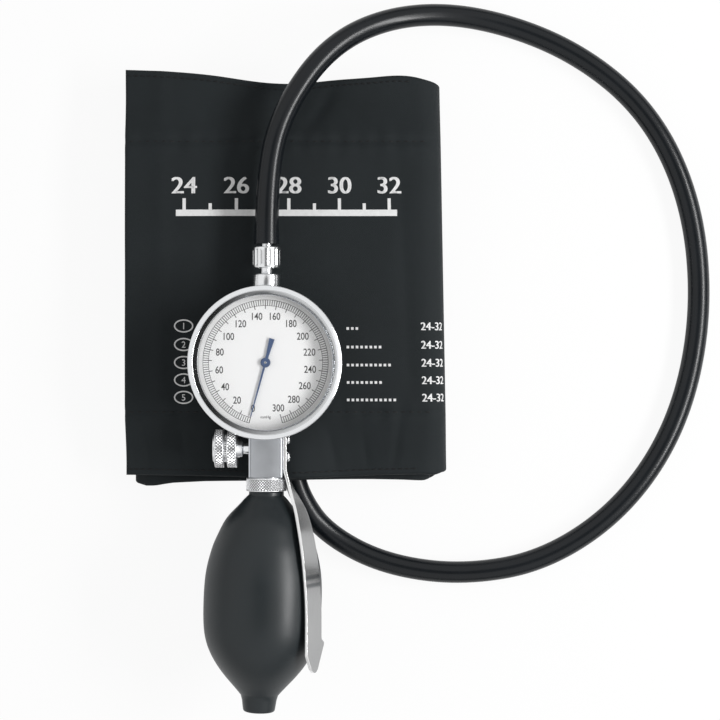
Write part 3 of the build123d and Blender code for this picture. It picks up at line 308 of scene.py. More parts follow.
def brushed_sheet():
    """Stainless sheet: dull on its face, with a painted highlight along its upper edge and two dark bands of
    painted reflection where it bends.
    """
    paint = Paint("brushed_sheet", {"Metallic": 1.0})
    from_edge, _, _ = paint.parts_of(paint.flat())
    # Painted highlight: the strap's upper edge is painted near white, as the light it catches
    edge = 1 - paint.spread(from_edge, 0.15 * MM, 0.3 * MM)
    lines = paint.noise(paint.stretched(paint.here(), (5200.0, 60.0, 5200.0)), 1.0, 3.0)
    haze = paint.noise(paint.here(), 90.0, 3.0)
    # Painted reflection: two dark bands, one each side of the strap's bend, with a lighter band between them
    _, place, _ = paint.parts_of(paint.here())
    away = paint.math("ABSOLUTE", place - (DIAL_Y - BEND_REFLECTION_REACH * MM))
    bend_reflection_bands = paint.spread(away, 0.3 * MM, 1.1 * MM) - paint.spread(away, 1.6 * MM, 2.6 * MM)
    sheet = paint.blend(haze, tone(0.38, 0.385, 0.39), tone(0.45, 0.45, 0.45))
    sheet_with_bend_reflection = paint.blend(bend_reflection_bands * 0.75, sheet, tone(0.12, 0.13, 0.14))
    paint.feed("Base Color", paint.blend(edge, sheet_with_bend_reflection, grey(0.86)))
    paint.feed("Roughness", lines * 0.1 + haze * 0.08 + 0.14)
    paint.relief(lines, 0.000004)
    return paint.material


def clear_window():
    """Clear acrylic with a few fine scuffs."""
    paint = Paint("clear_window", {"Alpha": 0.03, "Base Color": grey(0.8)})
    scuff = paint.noise(paint.stretched(paint.here(), (900.0, 120.0, 1.0)), 1.0, 4.0)
    paint.feed("Roughness", scuff * 0.08 + 0.02)
    return paint.material


# Mesh makers


def grid_quads(rows, columns):
    """Corner numbers of the quads between neighbouring points of a grid, row after row."""
    row = np.arange(rows - 1)[:, None] * columns
    column = np.arange(columns - 1)[None, :]
    first = row + column
    return np.stack([first, first + 1, first + columns + 1, first + columns], axis=-1).reshape(-1, 4)


def piece_of(
    name, vertices, faces, material, body=ROOT, slot=None, stands_for=(), uv=None, sharp=40, closed_mesh=True
):
    """A smooth mesh object at the origin. If closed, its points are merged and its faces turned outwards."""
    mesh = bpy.data.meshes.new(name)
    mesh.from_pydata(np.asarray(vertices).reshape(-1, 3).tolist(), [], [list(face) for face in faces])
    if uv is not None:
        corner = np.empty(len(mesh.loops), np.int32)
        mesh.loops.foreach_get("vertex_index", corner)
        layer = mesh.uv_layers.new(name="flat")
        layer.data.foreach_set("uv", uv.reshape(-1, 2)[corner].astype(np.float32).ravel())
    if closed_mesh:
        work = bmesh.new()
        work.from_mesh(mesh)
        bmesh.ops.remove_doubles(work, verts=work.verts, dist=WELD)
        bmesh.ops.recalc_face_normals(work, faces=work.faces)
        work.to_mesh(mesh)
        work.free()
    mesh.polygons.foreach_set("use_smooth", [True] * len(mesh.polygons))
    mesh.set_sharp_from_angle(angle=radians(sharp))
    mesh.materials.append(material)
    piece = bpy.data.objects.new(name, mesh)
    bpy.context.scene.collection.objects.link(piece)
    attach(piece, body)
    if stands_for:
        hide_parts(*stands_for)
    return piece


def softened(outline, steps=4):
    """An outline of (radius, height, setback) corners in millimetres, with curves instead of its corners.

    A curve starts at A and ends at B, both one setback away from the corner C, and is
    (1 - t)^2 A + 2 t (1 - t) C + t^2 B.
    """
    corners = np.array([(radius, height) for radius, height, _ in outline], float)
    points = []
    for number, (_, _, setback) in enumerate(outline):
        here = corners[number]
        if setback == 0:
            points.append(here)
            continue
        before = corners[number - 1] - here
        after = corners[(number + 1) % len(corners)] - here
        start = here + before / np.linalg.norm(before) * setback
        end = here + after / np.linalg.norm(after) * setback
        for t in np.linspace(0, 1, steps + 1):
            points.append((1 - t) ** 2 * start + 2 * t * (1 - t) * here + t**2 * end)
    return np.array(points) * MM


def closed(profile):
    """The same profile, back to its first point."""
    return np.vstack([profile, profile[:1]])


def finely(profile, step, beyond=0.0):
    """The same profile with points at most a step apart, wherever its radius is at least the one given."""
    runs = []
    for start, end in zip(profile, profile[1:]):
        fine = min(start[0], end[0]) >= beyond
        count = max(1, int(np.ceil(np.linalg.norm(end - start) / step))) if fine else 1
        runs.append(start + (end - start) * np.linspace(0, 1, count, endpoint=False)[:, None])
    return np.vstack([*runs, profile[-1:]])


def turned(name, profile, centre, axis, material, steps=128, relief=None, **placing):
    """A piece turned on an axis: centre + height * axis + (radius - relief) * (cos a * side + sin a * up).

    The profile holds (radius, height) points. The relief is a function of the angle and the height, and
    the piece's UV map holds what it cuts away and the height.
    """
    axis = np.array(axis, float)
    side = np.cross(axis, (0.0, 0.0, 1.0))
    side = np.array((1.0, 0.0, 0.0)) if np.linalg.norm(side) < 0.5 else side / np.linalg.norm(side)
    up = np.cross(axis, side)
    angle = np.linspace(0, 2 * pi, steps + 1)[None, :, None]
    radius = profile[:, 0][:, None, None] * np.ones_like(angle)
    height = profile[:, 1][:, None, None]
    if relief is not None:
        cut = relief(angle, height) * np.ones_like(radius)
        radius = radius - cut
        placing["uv"] = np.concatenate([cut, np.broadcast_to(height, cut.shape)], axis=-1)
    points = np.array(centre) + height * axis + radius * (np.cos(angle) * side + np.sin(angle) * up)
    return piece_of(name, points, grid_quads(len(profile), steps + 1), material, **placing)


def ridge(value):
    """A wave with straight flanks: 0 at whole numbers and 1 halfway between them."""
    return 1 - np.abs(2 * (value - np.floor(value)) - 1)


def between(height, low, high, ease):
    """1 between two heights and 0 outside them, eased at both ends."""
    return eased(height, low, low + ease) * (1 - eased(height, high - ease, high))


def off_middle(angle, count, radius):
    """The distance round a circle to the middle of the nearest of a number of equal shares."""
    turns = angle / (2 * pi) * count
    return (turns - np.floor(turns) - 0.5) * 2 * pi * radius / count


def knurl(count, pitch, depth, low, high):
    """Crossed grooves between two heights: depth * (1 - the lower of two waves), pyramids with small flats.

    The waves are the ridges of turns + height / pitch and of turns - height / pitch.
    """

    def relief(angle, height):
        turns = angle / (2 * pi) * count
        crossed = np.minimum(ridge(turns + height / pitch), ridge(turns - height / pitch))
        return between(height, low, high, 0.1 * MM) * depth * (1 - np.minimum(1.15 * crossed, 1.0))

    return relief


def flutes(count, radius, depth, round_radius, low, high):
    """Lengthwise flutes: depth - sideways distance^2 / (2 * round radius), where that is above 0."""

    def relief(angle, height):
        valley = depth - off_middle(angle, count, radius) ** 2 / (2 * round_radius)
        return between(height, low, high, 0.3 * MM) * np.maximum(valley, 0.0)

    return relief


def dimples(count, radius, height_at, hole_radius, depth):
    """Round pits on a ring: the depth where a pit's middle is nearer than its radius, with eased rims."""

    def relief(angle, height):
        distance = np.hypot(off_middle(angle, count, radius), height - height_at)
        return depth * (1 - eased(distance, 0.75 * hole_radius, 1.25 * hole_radius))

    return relief


def together(*reliefs):
    """The sum of several reliefs."""
    return lambda angle, height: sum(relief(angle, height) for relief in reliefs)


def eased(value, low, high):
    """0 below low, 1 above high, and 3 t^2 - 2 t^3 between them."""
    t = np.clip((value - low) / (high - low), 0, 1)
    return t * t * (3 - 2 * t)


def bump(value, middle, width):
    """A bell: e to the power -((value - middle) / width)^2."""
    return np.exp(-(((value - middle) / width) ** 2))


def smooth_curve(places, values, at, level_ends=False):
    """A cubic spline through values at places, read at other places. Its ends are free, or level.

    Its slopes m solve m0 / h0 + 2 m1 (1 / h0 + 1 / h1) + m2 / h1 = 3 (d0 / h0 + d1 / h1) at each inner
    place, where h are the steps beside it and d the slopes of the straight lines there.
    """
    places = np.asarray(places, float)
    values = np.asarray(values, float)
    step = np.diff(places)
    rise = np.diff(values) / step
    count = len(places)
    matrix = np.zeros((count, count))
    wanted = np.zeros(count)
    inner = np.arange(1, count - 1)
    matrix[inner, inner - 1] = 1 / step[:-1]
    matrix[inner, inner] = 2 / step[:-1] + 2 / step[1:]
    matrix[inner, inner + 1] = 1 / step[1:]
    wanted[inner] = 3 * (rise[:-1] / step[:-1] + rise[1:] / step[1:])
    matrix[0, 0] = matrix[-1, -1] = 2.0
    if not level_ends:
        matrix[0, 1] = matrix[-1, -2] = 1.0
        wanted[0], wanted[-1] = 3 * rise[0], 3 * rise[-1]
    slope = np.linalg.solve(matrix, wanted)
    at = np.clip(at, places[0], places[-1])
    span = np.clip(np.searchsorted(places, at) - 1, 0, count - 2)
    t = (at - places[span]) / step[span]
    return (
        values[span] * (1 + 2 * t) * (1 - t) ** 2
        + slope[span] * step[span] * t * (1 - t) ** 2
        + values[span + 1] * t**2 * (3 - 2 * t)
        + slope[span + 1] * step[span] * t**2 * (t - 1)
    )


# Camera, light and table

# How high over the horizon the room's bright belt and its dim ceiling begin and are full, of 1 overhead
BELT_RISE = (0.14, 0.42)
CEILING_RISE = (0.93, 0.985)
LAMP_AIM = (0.0, 0.0, 0.02)
TABLE_HALF = 1.6
# How far the table glows white instead of being lit, for the camera and glass, and for metal
GLOW_SEEN = 0.92
GLOW_MIRRORED = 0.38


def make_camera():
    """Looks straight down on the table from the photograph's height."""
    data = bpy.data.cameras.new("camera")
    data.sensor_width = SENSOR
    data.lens = SENSOR * CAMERA_HEIGHT / TABLE_SPAN
    data.clip_end = 20.0
    camera = bpy.data.objects.new("camera", data)
    camera.location = (CAMERA_X, CAMERA_Y, CAMERA_HEIGHT)
    bpy.context.scene.collection.objects.link(camera)
    bpy.context.scene.camera = camera


def make_world():
    """A studio round the table: a dim ceiling, a bright belt and a horizon that is dark on the right."""
    world = bpy.data.worlds.new("studio")
    bpy.context.scene.world = world
    world.use_nodes = True
    nodes = Nodes(world.node_tree)
    background = world.node_tree.nodes["Background"]
    right, back, up = nodes.parts_of(nodes.node("TexCoord"))
    horizon = nodes.spread(back * 0.05 - right, -0.75, 0.75) * 0.65 + 0.02
    belt = nodes.spread(up, *BELT_RISE)
    ceiling = nodes.spread(up, *CEILING_RISE)
    seen, soft = nodes.rays("Camera", "Diffuse")
    walls = horizon * (1 - belt) + belt * 0.95
    room = walls * (1 - ceiling) + ceiling * (soft * 0.8 + 0.15)
    level = room * (1 - soft * 0.55) * (1 - seen) + seen
    nodes.tree.links.new(level.socket, background.inputs["Color"])


def make_lamp(name, place, size, power, mirrored=True):
    """A rectangular soft lamp, aimed at the object, that polished things mirror or not."""
    data = bpy.data.lights.new(name, "AREA")
    data.shape = "RECTANGLE"
    data.size, data.size_y = size
    data.energy = power
    holder = bpy.data.objects.new(name, data)
    holder.location = place
    holder.rotation_mode = "QUATERNION"
    holder.rotation_quaternion = (Vector(LAMP_AIM) - Vector(place)).to_track_quat("-Z", "Y")
    holder.visible_glossy = mirrored
    bpy.context.scene.collection.objects.link(holder)


def make_floor():
    """A white table top that keeps a pale shadow and shows the camera, metal and glass a white ground."""
    mesh = bpy.data.meshes.new("table_top")
    corners = [(x * TABLE_HALF, y * TABLE_HALF, 0) for x, y in ((-1, -1), (1, -1), (1, 1), (-1, 1))]
    mesh.from_pydata(corners, [], [(0, 1, 2, 3)])
    floor = bpy.data.objects.new("table_top", mesh)
    bpy.context.scene.collection.objects.link(floor)
    paint = Paint("table_white", {"Base Color": grey(0.85), "Roughness": 0.7})
    camera_ray, glossy_ray, glass_ray = paint.rays("Camera", "Glossy", "Transmission")
    glow_share = camera_ray * GLOW_SEEN + glossy_ray * GLOW_MIRRORED + glass_ray * GLOW_SEEN
    share = paint.math("MINIMUM", glow_share, GLOW_SEEN)
    glow = paint.node("Emission", None, {"Color": grey(1.0), "Strength": 1.0})
    shaded = Signal(paint, paint.shader.outputs[0])
    mixed = paint.node("MixShader", None, {0: share, 1: shaded, 2: glow})
    paint.tree.links.new(mixed.socket, paint.tree.nodes["Material Output"].inputs["Surface"])
    mesh.materials.append(paint.material)


# Hose


def make_hose(material):
    """A NURBS line through the route's points, thicker where the tube is stretched over its barb."""
    curve = bpy.data.curves.new("rubber_hose", "CURVE")
    curve.dimensions = "3D"
    spline = curve.splines.new("NURBS")
    spline.points.add(len(HOSE_ROUTE) - 1)
    for point, place in zip(spline.points, HOSE_ROUTE):
        point.co = (*place, 1.0)
    spline.points[0].radius = HOSE_FLARE
    spline.order_u = 3
    spline.use_endpoint_u = True
    spline.resolution_u = 24
    curve.bevel_depth = HOSE_RADIUS
    curve.bevel_resolution = 8
    curve.use_fill_caps = True
    curve.materials.append(material)
    hose = bpy.data.objects.new("rubber_hose", curve)
    bpy.context.scene.collection.objects.link(hose)
    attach(hose, ROOT)
    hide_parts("hose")


# Cuff: a padded band, 451 mm by 146.7 mm when it lies flat, rolled in two turns

PLY = 2.4 * MM
PLY_ROUND = 1.1 * MM
# How square the right-hand fold is: 1 is round
SQUARE = 0.75
CORE_BOTTOM = 5.2 * MM
CORE = 9.0 * MM
TOP_LINE = cuff_high.z - PLY / 2
BOTTOM_LINE = PLY / 2
UPPER_LINE = CORE_BOTTOM + CORE + PLY / 2
INNER_LINE = CORE_BOTTOM - PLY / 2
FREE_EDGE_X = cuff_low.x
RIGHT_FOLD_X = 48.55 * MM
LEFT_FOLD_X = -47.3 * MM
INNER_FOLD_X = 45.9 * MM
INNER_END_X = -42.3 * MM
FLAT_SIZE = (0.1467, 0.451)
EDGE_STEPS = np.array([0.0, 0.12, 0.35, 0.7, 1.0, 1.3, 1.7]) * MM
SEAMS_Y = (-8.2 * MM, 89.7 * MM)
SEAM_CHANNEL = 0.6 * MM
SEAM_SWELL = 0.2 * MM
SEAM_PUCKER = 0.14 * MM
RIDGE_X = -45 * MM
RIDGE_HEIGHT = 0.4 * MM
# The press of the gauge on the cloth: flat within the first radius, free beyond the second
GAUGE_PRESS = (26 * MM, 42 * MM)

# The ends in y of the top ply and, below it, of the lower plies, by x
EDGE_X = np.array([-60.0, -45.0, -24.0, -13.0, 5.0, 16.0, 34.0, 47.0, 53.0, 60.0]) * MM
HIGH_EDGE_Y = np.array([116.0, 115.5, 113.7, 112.2, 111.5, 112.3, 113.4, 113.8, 112.9, 112.2]) * MM
LOW_EDGE_Y = np.array([-31.2, -31.4, -31.8, -32.1, -32.3, -32.0, -31.3, -31.0, -30.7, -30.2]) * MM
LOWER_X, LOWER_Y = MM * np.array(
    [
        (-60.0, -55.0, -52.0, -48.0, -42.0, -30.0, -16.0, 9.0, 30.0, 42.0, 51.0, 54.0, 57.0, 60.0),
        (-33.8, -34.8, -35.5, -35.4, -34.4, -33.8, -33.6, -33.0, -33.0, -33.2, -33.6, -32.9, -30.7, -30.2),
    ]
)


def paired(values, other):
    """Each of several values beside one other value."""
    return np.stack([values, np.full(len(values), other)], axis=-1)


def straight(start_x, end_x, z, step):
    """Places (x, z) along a level run of the roll, without its end."""
    count = int(np.ceil(abs(end_x - start_x) / step))
    return paired(np.linspace(start_x, end_x, count, endpoint=False), z)


def half_turn(x, low, high, side, sense, count, power=1.0):
    """Places round a fold: x + side * r * (sin a)^power, middle + sense * r * (cos a)^power.

    The angle a runs from 0 to half a turn, and a power under 1 makes the fold squarer.
    """
    angle = np.linspace(0, pi, count, endpoint=False)
    radius = (high - low) / 2
    across = np.abs(np.sin(angle)) ** power
    rise = np.sign(np.cos(angle)) * np.abs(np.cos(angle)) ** power
    return np.stack([x + side * radius * across, (high + low) / 2 + sense * radius * rise], axis=-1)


# The rolled band's middle line from its free edge to its inner end, its outward side, and how far along
# each place is
ROLL = np.vstack(
    [
        paired(FREE_EDGE_X + EDGE_STEPS, TOP_LINE),
        straight(FREE_EDGE_X + 2.4 * MM, RIGHT_FOLD_X, TOP_LINE, 0.9 * MM),
        half_turn(RIGHT_FOLD_X, BOTTOM_LINE, TOP_LINE, 1, 1, 30, SQUARE),
        straight(RIGHT_FOLD_X, LEFT_FOLD_X, BOTTOM_LINE, 4 * MM),
        half_turn(LEFT_FOLD_X, BOTTOM_LINE, UPPER_LINE, -1, -1, 16),
        straight(LEFT_FOLD_X, INNER_FOLD_X, UPPER_LINE, 3 * MM),
        half_turn(INNER_FOLD_X, INNER_LINE, UPPER_LINE, 1, 1, 14),
        straight(INNER_FOLD_X, INNER_END_X + 3 * MM, INNER_LINE, 4 * MM),
        paired(INNER_END_X + EDGE_STEPS[::-1], INNER_LINE),
    ]
)
ROLL_STEP = np.gradient(ROLL, axis=0)
ROLL_OUT = np.stack([-ROLL_STEP[:, 1], ROLL_STEP[:, 0]], axis=-1)
ROLL_OUT = ROLL_OUT / np.linalg.norm(ROLL_STEP, axis=1)[:, None]
ROLL_AT = np.concatenate([[0.0], np.cumsum(np.linalg.norm(np.diff(ROLL, axis=0), axis=1))])
TOP_RUN = RIGHT_FOLD_X - FREE_EDGE_X
TAPER = 2.6 * MM

# Creases in the top ply: from, to, width and depth, in millimetres of (along from x = 0, across)
CREASES = [
    ((-7.0, 110.0), (3.0, 92.5), 2.4, 0.75), ((18.0, 109.0), (7.0, 92.5), 2.6, 0.7),
    ((5.0, 112.0), (5.0, 99.0), 4.0, 0.5), ((24.0, 101.0), (38.0, 91.0), 1.8, 0.25),
    ((-30.0, 100.0), (-22.0, 91.0), 1.8, 0.2), ((43.0, 88.0), (46.0, -5.0), 2.6, 0.3),
    ((-52.0, -12.0), (-49.0, -30.0), 1.5, 0.4), ((-38.0, -14.0), (-36.5, -30.0), 1.4, 0.35),
    ((-26.0, -17.0), (-24.5, -31.0), 1.3, 0.3), ((15.0, -12.0), (19.0, -31.0), 1.8, 0.45),
    ((28.0, -15.0), (30.0, -30.0), 1.3, 0.3), ((42.0, -10.0), (39.0, -29.0), 1.5, 0.4),
]
WAVE_COUNT = 14
chance = np.random.default_rng(11)
WAVE_LENGTH = chance.uniform(26, 85, WAVE_COUNT) * MM
WAVE_TURN = chance.uniform(0, pi, WAVE_COUNT)
WAVE_PHASE = chance.uniform(0, 2 * pi, WAVE_COUNT)
WAVE_HEIGHT = 0.0019 * WAVE_LENGTH


def crease(along, across, start, end, width, depth):
    """A valley that fades at its ends: -depth * e^-(distance / width)^2 * sqrt(sin(pi * share of line))."""
    start = np.array(start) * MM
    run = np.array(end) * MM - start
    length = np.linalg.norm(run)
    from_x = along - start[0]
    from_y = across - start[1]
    share = np.clip((from_x * run[0] + from_y * run[1]) / length**2, 0, 1)
    distance = np.hypot(from_x - share * run[0], from_y - share * run[1])
    fade = np.sqrt(np.sin(pi * np.clip(share, 0.02, 0.98)))
    return -depth * MM * bump(distance, 0, width * MM) * fade


def top_relief(along, across):
    """Height of the top ply over its even level.

    It is a sum of plane waves, creases, a ridge by the free edge, and the seams' channels with the swell
    and the puckers beside them, nearly flat under the gauge.
    """
    phase = along[..., None] * np.cos(WAVE_TURN) + across[..., None] * np.sin(WAVE_TURN)
    height = np.sum(WAVE_HEIGHT * np.sin(2 * pi * phase / WAVE_LENGTH + WAVE_PHASE), axis=-1)
    flat_x = along + FREE_EDGE_X
    height = height + RIDGE_HEIGHT * bump(flat_x, RIDGE_X, 3.2 * MM)
    for start, end, width, depth in CREASES:
        height = height + crease(flat_x, across, start, end, width, depth)
    pucker = np.sin(2 * pi * along / (7.3 * MM)) + 0.6 * np.sin(2 * pi * along / (11.9 * MM) + 1.0)
    for seam in SEAMS_Y:
        away = across - seam
        height = height + SEAM_PUCKER * pucker * bump(away, 0, 5 * MM)
        height = height + SEAM_SWELL * bump(np.abs(away), 3.4 * MM, 2.2 * MM)
        height = height - SEAM_CHANNEL * bump(away, 0, 0.9 * MM)
    under_gauge = 1 - eased(np.hypot(flat_x - AXIS_X, across - DIAL_Y), *GAUGE_PRESS)
    return height * (1 - 0.8 * under_gauge) - 0.1 * MM * under_gauge


def settling(x, across):
    """Share of the bladder's thickness by which the roll sinks where it is empty, beyond its two seams."""
    low = (1 - eased(across, -28 * MM, -7 * MM)) * 0.5 * (1 - bump(x, 2.5 * MM, 14 * MM))
    high = eased(across, 87 * MM, 108 * MM) * (0.34 + 0.3 * bump(x, 5 * MM, 17 * MM))
    return low + high


def settled(x, across, z):
    """The height of a place in the roll after it has sunk: the higher over the core's foot, the more."""
    return z - settling(x, across) * CORE * np.clip((z - CORE_BOTTOM) / CORE, 0, 1)


def laid(along, across, lift):
    """Places on the rolled band: its middle line + (lift + relief) * outwards, then settled and narrowed.

    The right side of the roll narrows steadily towards its upper end.
    """
    lift = lift + top_share(along) * top_relief(along, across)
    x, z = (
        np.interp(along, ROLL_AT, ROLL[:, axis]) + np.interp(along, ROLL_AT, ROLL_OUT[:, axis]) * lift
        for axis in (0, 1)
    )
    z = settled(x, across, z)
    x = x - TAPER * np.clip((across + 30 * MM) / (142 * MM), 0, 1) * eased(x, 0, 50 * MM)
    return np.stack([x, across * np.ones_like(x), z], axis=-1)


def top_share(along):
    """1 on the top ply, fading to 0 on its way round the right-hand fold."""
    return 1 - eased(along, TOP_RUN, TOP_RUN + 14 * MM)


def band_edges(along):
    """The low and high ends in y of the band, ply by ply."""
    share = top_share(along)
    corner_x = np.interp(along, ROLL_AT, ROLL[:, 0] + ROLL_OUT[:, 0] * PLY / 2)
    high = smooth_curve(EDGE_X, HIGH_EDGE_Y, corner_x) - (1 - share) * 0.8 * MM
    top_low = smooth_curve(EDGE_X, LOW_EDGE_Y, corner_x)
    lower_low = np.interp(corner_x, LOWER_X, LOWER_Y)
    return share * top_low + (1 - share) * lower_low, high


def rounding(from_edge):
    """Share of the thickness near an edge: sqrt(1 - (1 - distance / round)^2), and 1 further in."""
    return np.sqrt(1 - (1 - np.clip(from_edge / PLY_ROUND, 0, 1)) ** 2)


def make_cuff(cloth):
    """The band as one closed sheet: a grid of places along and across it, outside and inside.

    Near its low and high ends the grid keeps its true distance from them, and further in it spreads evenly.
    """
    low, high = band_edges(ROLL_AT)
    middle = np.arange(2.4, 144.3, 0.95) * MM
    across_at = np.concatenate([EDGE_STEPS, middle, FLAT_SIZE[0] - EDGE_STEPS[::-1]])
    inset = np.minimum(across_at, FLAT_SIZE[0] - across_at)
    share = np.where(
        across_at < FLAT_SIZE[0] / 2,
        across_at[None, :] / (high - low)[:, None],
        1 - (FLAT_SIZE[0] - across_at)[None, :] / (high - low)[:, None],
    )
    centre_share = across_at / FLAT_SIZE[0]
    near_edge = 1 - eased(inset, 2 * MM, 30 * MM)
    share = share * near_edge + centre_share * (1 - near_edge)
    across = low[:, None] + (high - low)[:, None] * share
    along = ROLL_AT[:, None] * np.ones_like(across)
    from_end = np.minimum(along, ROLL_AT[-1] - along)
    half = PLY / 2 * rounding(from_end) * rounding(inset)[None, :]
    outside = laid(along, across, half)
    inside = laid(along, across, -half)
    rows, columns = along.shape
    points = np.concatenate([outside.reshape(-1, 3), inside.reshape(-1, 3)])
    quads = grid_quads(rows, columns)
    faces = np.concatenate([quads, quads[:, ::-1] + rows * columns])
    uv = np.stack([along, across], axis=-1).reshape(-1, 2)
    looks = {"slot": "cuff_cloth", "uv": np.concatenate([uv, uv]), "sharp": 75}
    return piece_of("cuff_band", points, faces, cloth, stands_for=["cuff_sleeve"], **looks)


def many(base_points, base_faces, moved):
    """Copies of a small mesh of quads: one row of points for each copy, and faces numbered on."""
    shifts = np.arange(len(moved))[:, None, None] * len(base_points)
    return moved.reshape(-1, 3), (base_faces + shifts).reshape(-1, 4)


# Steps from stitch to stitch in millimetres, how far the hem's stitches lie in, how high the thread lies,
# and half a stitch's length, width and thickness
SEAM_PITCH, HEM_PITCH = 2.9, 2.4
HEM_INSET = 2.2 * MM
THREAD_LIFT = 0.05 * MM
STITCH_HALVES = np.array([0.95, 0.28, 0.16]) * MM


def make_stitches(material):
    """Thread along the two seams and the two hems of the top ply.

    Each stitch is a flat bead of half sizes a, b, c: (a * cos u, b * sin u * cos v, c * sin u * sin v).
    """
    u, v = np.meshgrid(np.linspace(0, pi, 7), np.linspace(0, 2 * pi, 9), indexing="ij")
    bead = np.stack([np.cos(u), np.sin(u) * np.cos(v), np.sin(u) * np.sin(v)], axis=-1).reshape(-1, 3)
    bead = bead * STITCH_HALVES
    seam_at = np.arange(2.5, 111.5, SEAM_PITCH) * MM
    middles = [paired(seam_at, seam) for seam in SEAMS_Y]
    hem_at = np.arange(1.5, 106.0, HEM_PITCH) * MM
    low, high = band_edges(hem_at)
    middles += [np.stack([hem_at, hem], axis=-1) for hem in (high - HEM_INSET, low + HEM_INSET)]
    middles = np.concatenate(middles)
    spread_along = middles[:, :1] + bead[None, :, 0]
    spread_across = middles[:, 1:] + bead[None, :, 1]
    lift = PLY / 2 + THREAD_LIFT + bead[None, :, 2] + 0 * spread_along
    points, all_faces = many(bead, grid_quads(7, 9), laid(spread_along, spread_across, lift))
    return piece_of("seam_thread", points, all_faces, material, slot="cuff_cloth", sharp=80)


# Printing: flat shapes in millimetres, laid on the cloth or on the dial

# Height of a digit in a font of size 1
DIGIT_SHARE = 0.7


def words(text, size, x, y, squeeze=1.0, bold=0.0):
    """Points and faces of a line of text of a height in millimetres, with its foot at y."""
    font = bpy.data.curves.new("letters", "FONT")
    font.body = text
    font.size = size / DIGIT_SHARE
    font.align_x = "CENTER"
    font.offset = bold
    font.resolution_u = 4
    holder = bpy.data.objects.new("letters", font)
    bpy.context.scene.collection.objects.link(holder)
    shape = bpy.data.meshes.new_from_object(holder)
    points = np.array([vertex.co[:2] for vertex in shape.vertices])
    faces = [tuple(face.vertices) for face in shape.polygons]
    bpy.data.objects.remove(holder)
    bpy.data.curves.remove(font)
    bpy.data.meshes.remove(shape)
    return points * (squeeze, 1.0) + (x, y), faces


def block(x0, y0, x1, y1):
    """A rectangle."""
    return np.array([(x0, y0), (x1, y0), (x1, y1), (x0, y1)], float), [(0, 1, 2, 3)]


def ring(x, y, half_width, half_height, line, steps=48, start=0.0, end=2 * pi):
    """An oval line: x + (half width -+ line / 2) * cos a, y + (half height -+ line / 2) * sin a."""
    angle = np.linspace(start, end, steps + 1)
    part = np.array([line / 2, -line / 2])[:, None]
    across = x + (half_width + part) * np.cos(angle)
    up = y + (half_height + part) * np.sin(angle)
    quads = [tuple(quad) for quad in grid_quads(2, steps + 1)[:, ::-1]]
    return np.stack([across, up], axis=-1).reshape(-1, 2), quads


def joined(shapes):
    """Several flat shapes as one list of points and one of faces."""
    points = []
    faces = []
    for shape_points, shape_faces in shapes:
        shift = sum(len(part) for part in points)
        points.append(shape_points)
        faces += [tuple(corner + shift for corner in face) for face in shape_faces]
    return np.concatenate(points), faces


def cut_small(points, faces, step):
    """The same flat shapes, cut along a square grid so that they can follow a curved surface."""
    work = bmesh.new()
    corners = [work.verts.new((x, y, 0.0)) for x, y in points]
    for face in faces:
        if len({tuple(points[corner]) for corner in face}) > 2:
            work.faces.new([corners[corner] for corner in face])
    for axis in (0, 1):
        for place in np.arange(points[:, axis].min() + step, points[:, axis].max(), step):
            way = Vector((1.0, 0.0, 0.0) if axis == 0 else (0.0, 1.0, 0.0))
            everything = list(work.verts) + list(work.edges) + list(work.faces)
            bmesh.ops.bisect_plane(work, geom=everything, dist=1e-5, plane_co=way * place, plane_no=way)
    work.verts.ensure_lookup_table()
    cut_points = np.array([vertex.co[:2] for vertex in work.verts])
    cut_faces = [tuple(vertex.index for vertex in face.verts) for face in work.faces]
    work.free()
    return cut_points, cut_faces


# Rows of the printed table: height in y and where the dotted line ends, in millimetres
TABLE_ROWS = [(22.9, 27.0), (16.2, 34.5), (9.7, 38.5), (3.4, 34.5), (-2.9, 41.0)]
OVAL_X = -36.7
DOTS_X = 22.5
DOT_STEP = 1.7
RANGE_X = 54.0
# The sizing scale: its bar from x to x at a height, the first mark and the step between marks
BAR_FROM, BAR_TO, BAR_Y, BAR_HEIGHT = -39.5, 42.0, 62.6, 2.3
FIRST_MARK_X = -36.5
MARK_STEP = 9.45
MARK_HALF, LONG_MARK, SHORT_MARK = 0.6, 6.4, 4.6
SMALLEST_ARM, LARGEST_ARM = 24, 32
# How far the print lies over the cloth, and the pieces that it is cut into
PRINT_LIFT = 0.06 * MM
PRINT_CELL = 1.6


def heavy(text, size, x, y, squeeze, shift):
    """The same line of text twice, a little apart, so that its strokes are heavier."""
    return [words(text, size, x + side * shift, y, squeeze) for side in (-1, 1)]


